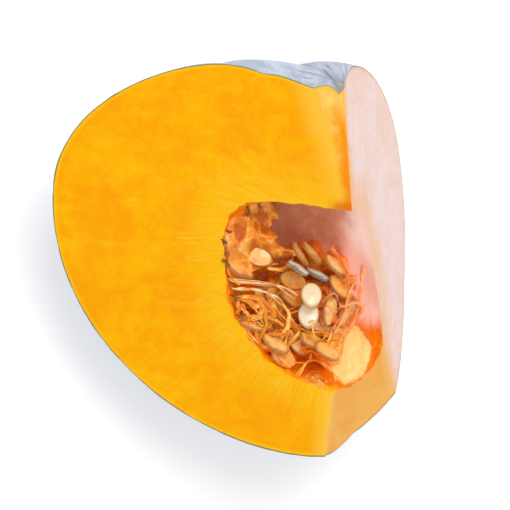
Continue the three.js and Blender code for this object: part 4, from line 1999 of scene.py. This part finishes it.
@dataclass(frozen=True)
class Spikes:
    """Dark dried tips along the left lip of the cavity. A place is across, up, and its heading."""

    places: tuple[tuple[float, float, float], ...] = (
        (-25.0, 44.0, 118.0),
        (-31.0, 40.0, 110.0),
        (-37.0, 33.0, 176.0),
        (-39.0, 25.0, 160.0),
        (-39.5, 19.0, 200.0),
        (-38.0, 13.0, 150.0),
        (-33.0, -2.0, 190.0),
        (-30.0, -12.0, 200.0),
    )
    length: float = 9.0
    radius: float = 1.3
    steps: int = 18

    def build(self, finish: Material) -> Piece:
        """Makes the tips: each rises, curls over towards its heading, and narrows to nothing.

        Args:
            finish: Its material.

        Returns:
            The Blender object.
        """
        at = np.array(self.places)
        heading = np.radians(at[:, 2])
        share = np.linspace(0, 1, self.steps)[:, None]
        x = at[:, 0] + np.cos(heading) * self.length * share
        y = at[:, 1] + np.sin(heading) * self.length * share + 2.0 * share**2
        z = -12.0 + 9.0 * np.sin(share * 1.9) + 0 * x
        paths = np.moveaxis(np.stack([x, y, z], axis=-1), 1, 0)
        paths += 0.6 * wander(paths, 3.0, 111)
        radii = self.radius * (1 - share[:, 0]) ** 0.7 * np.ones((len(at), 1))
        radii[:, 0] = 0.0
        rings = tube(keep_in_hollow(NEST.place(paths), 1.0, -0.8), radii, 8, 0.6)
        work = Patchwork()
        work.grid(rings, wrap=True, shade=np.broadcast_to(1 - share, rings.shape[:-1]))
        return work.made("torn_tips", [finish])


# ---------------------------------------------------------------- studio


@dataclass(frozen=True)
class Lamp:
    """A square area light: where it stands round the target, its size in metres and its power."""

    name: str
    azimuth: float
    elevation: float
    distance: float
    size: float
    power: float
    tint: Colour


@dataclass(frozen=True)
class Studio:
    """The floor, the lights and the camera, in metres and degrees."""

    floor_radius: float = 6.0
    floor_sides: int = 96
    floor_rings: int = 12
    floor_tints: tuple[Colour, Colour] = ((0.9, 0.9, 0.9), (0.92, 0.92, 0.92))
    floor_glow: float = 0.2
    target: tuple[float, float, float] = (0.0015, -0.0119, 0.062)
    azimuth: float = -96.9
    elevation: float = 71.4
    roll: float = 60.5
    distance: float = 0.8336
    angle: float = 19.87
    nearest: float = 0.01
    key: Lamp = Lamp("key", 128, 70, 1.6, size=0.9, power=9.5, tint=(1, 0.98, 0.96))
    sky: Colour = (1, 0.988, 0.965)
    sky_strength: float = 0.8

    def aim(
        self, item: Piece, azimuth: float, elevation: float, distance: float, roll: float = 0.0
    ) -> None:
        """Stands an item off the target, facing it.

        Args:
            item: The camera or lamp.
            azimuth: Degrees round the target, from +X towards +Y.
            elevation: Degrees above it.
            distance: Metres from it.
            roll: Degrees that the item is rolled about its line of sight.
        """
        back = direction(azimuth, elevation)
        level = direction(azimuth + 90, 0)
        turned = math.radians(roll)
        right = math.cos(turned) * level + math.sin(turned) * np.cross(back, level)
        up = np.cross(back, right)
        place = np.array(self.target) + back * distance
        turn = Matrix([[right[i], up[i], back[i]] for i in range(3)])
        item.matrix_world = Matrix.Translation(place) @ turn.to_4x4()
        bpy.context.scene.collection.objects.link(item)

    def camera(self) -> None:
        """The camera, rolled about its own line of sight."""
        data = bpy.data.cameras.new("camera")
        data.angle = math.radians(self.angle)
        data.clip_start = self.nearest
        camera = bpy.data.objects.new("camera", data)
        self.aim(camera, self.azimuth, self.elevation, self.distance, self.roll)
        bpy.context.scene.camera = camera

    def light(self, lamp: Lamp) -> None:
        """Adds a lamp that looks at the target.

        Args:
            lamp: The lamp.
        """
        data = bpy.data.lights.new(lamp.name, "AREA")
        data.size = lamp.size
        data.energy = lamp.power
        data.color = lamp.tint
        item = bpy.data.objects.new(lamp.name, data)
        self.aim(item, lamp.azimuth, lamp.elevation, lamp.distance)

    def floor(self) -> None:
        """A wide pale disc under the piece: rings of points at equal steps of radius and angle."""
        angle = 2 * math.pi * np.arange(self.floor_sides) / self.floor_sides
        share = np.linspace(0, 1, self.floor_rings)[:, None]
        rim = np.stack([np.cos(angle) * share, np.sin(angle) * share, 0 * angle * share], axis=-1)
        points = (rim * self.floor_radius).reshape(-1, 3).tolist()
        index = np.arange(rim[..., 0].size).reshape(rim.shape[:2])
        index = np.concatenate([index, index[:, :1]], axis=1)
        corners = [index[:-1, :-1], index[1:, :-1], index[1:, 1:], index[:-1, 1:]]
        mesh = bpy.data.meshes.new("floor")
        mesh.from_pydata(points, [], np.stack(corners, axis=-1).reshape(-1, 4).tolist())
        floor = bpy.data.objects.new("floor", mesh)
        bpy.context.scene.collection.objects.link(floor)
        g = Graph("floor_paper")
        colour = g.mixed(g.noise(g.object_places(), 40.0, 2.0), *self.floor_tints)
        glow = {"Emission_Color": (1, 1, 1, 1), "Emission_Strength": self.floor_glow}
        floor.data.materials.append(g.finish(colour, 0.9, Specular_IOR_Level=0.1, **glow))

    def world(self) -> None:
        """Even, nearly white light from all round."""
        world = bpy.data.worlds.new("studio")
        world.use_nodes = True
        background = world.node_tree.nodes["Background"]
        background.inputs["Color"].default_value = (*self.sky, 1)
        background.inputs["Strength"].default_value = self.sky_strength
        bpy.context.scene.world = world

    def build(self) -> None:
        """Sets everything up."""
        scene = bpy.context.scene
        scene.view_settings.view_transform = "Standard"
        scene.view_settings.look = "None"
        self.camera()
        self.floor()
        self.world()
        self.light(self.key)


# ---------------------------------------------------------------- all together


def main() -> None:
    """Builds the pieces in order."""
    logging.basicConfig(level=logging.INFO, format="%(name)s %(message)s")
    Studio().build()
    faces = [flesh_finish(FLESH_TINTS[cut]) for cut in (Cut.FRONT, Cut.SIDE, Cut.UNDER, Cut.BEVEL)]
    finishes = [skin_finish(SkinTint()), *faces, Lining().finish()]
    placed(Wedge().build(finishes), ["wedge"])
    seed_nodes = sorted(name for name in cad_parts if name.startswith("seed_"))
    poses = {node: Seed.pose(node) for node in seed_nodes}
    coats = {key: seed_finish(tint) for key, tint in SEED_TINTS.items()}
    for index, node in enumerate(seed_nodes):
        kind = SEED_KINDS.get(node, "golden")
        seed = SEED_SHAPES.get(kind, Seed())
        placed(seed.build(f"pumpkin_{node}", node, index, coats[kind]), [node])
    wet = {key: pulp_finish(tint) for key, tint in PULP_TINTS.items()}
    placed(PulpBed().build(list(poses.values()), wet["bed"]), ["pulp_bed"])
    for index, route in enumerate(ROUTES):
        placed(Strand().build(index, route, wet[route.tint]), [f"strand_{index + 1:02d}"])
    pockets = [poses[node] for node in POCKET_SEEDS]
    placed(Membrane().build(pockets, wet["membrane"]), ["pulp_membrane"])
    placed(Spikes().build(wet["torn"]), [])
    for fibres in FIBRES:
        placed(fibres.build(wet[fibres.tint]), [])
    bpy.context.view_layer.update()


if __name__ == "__main__":
    main()
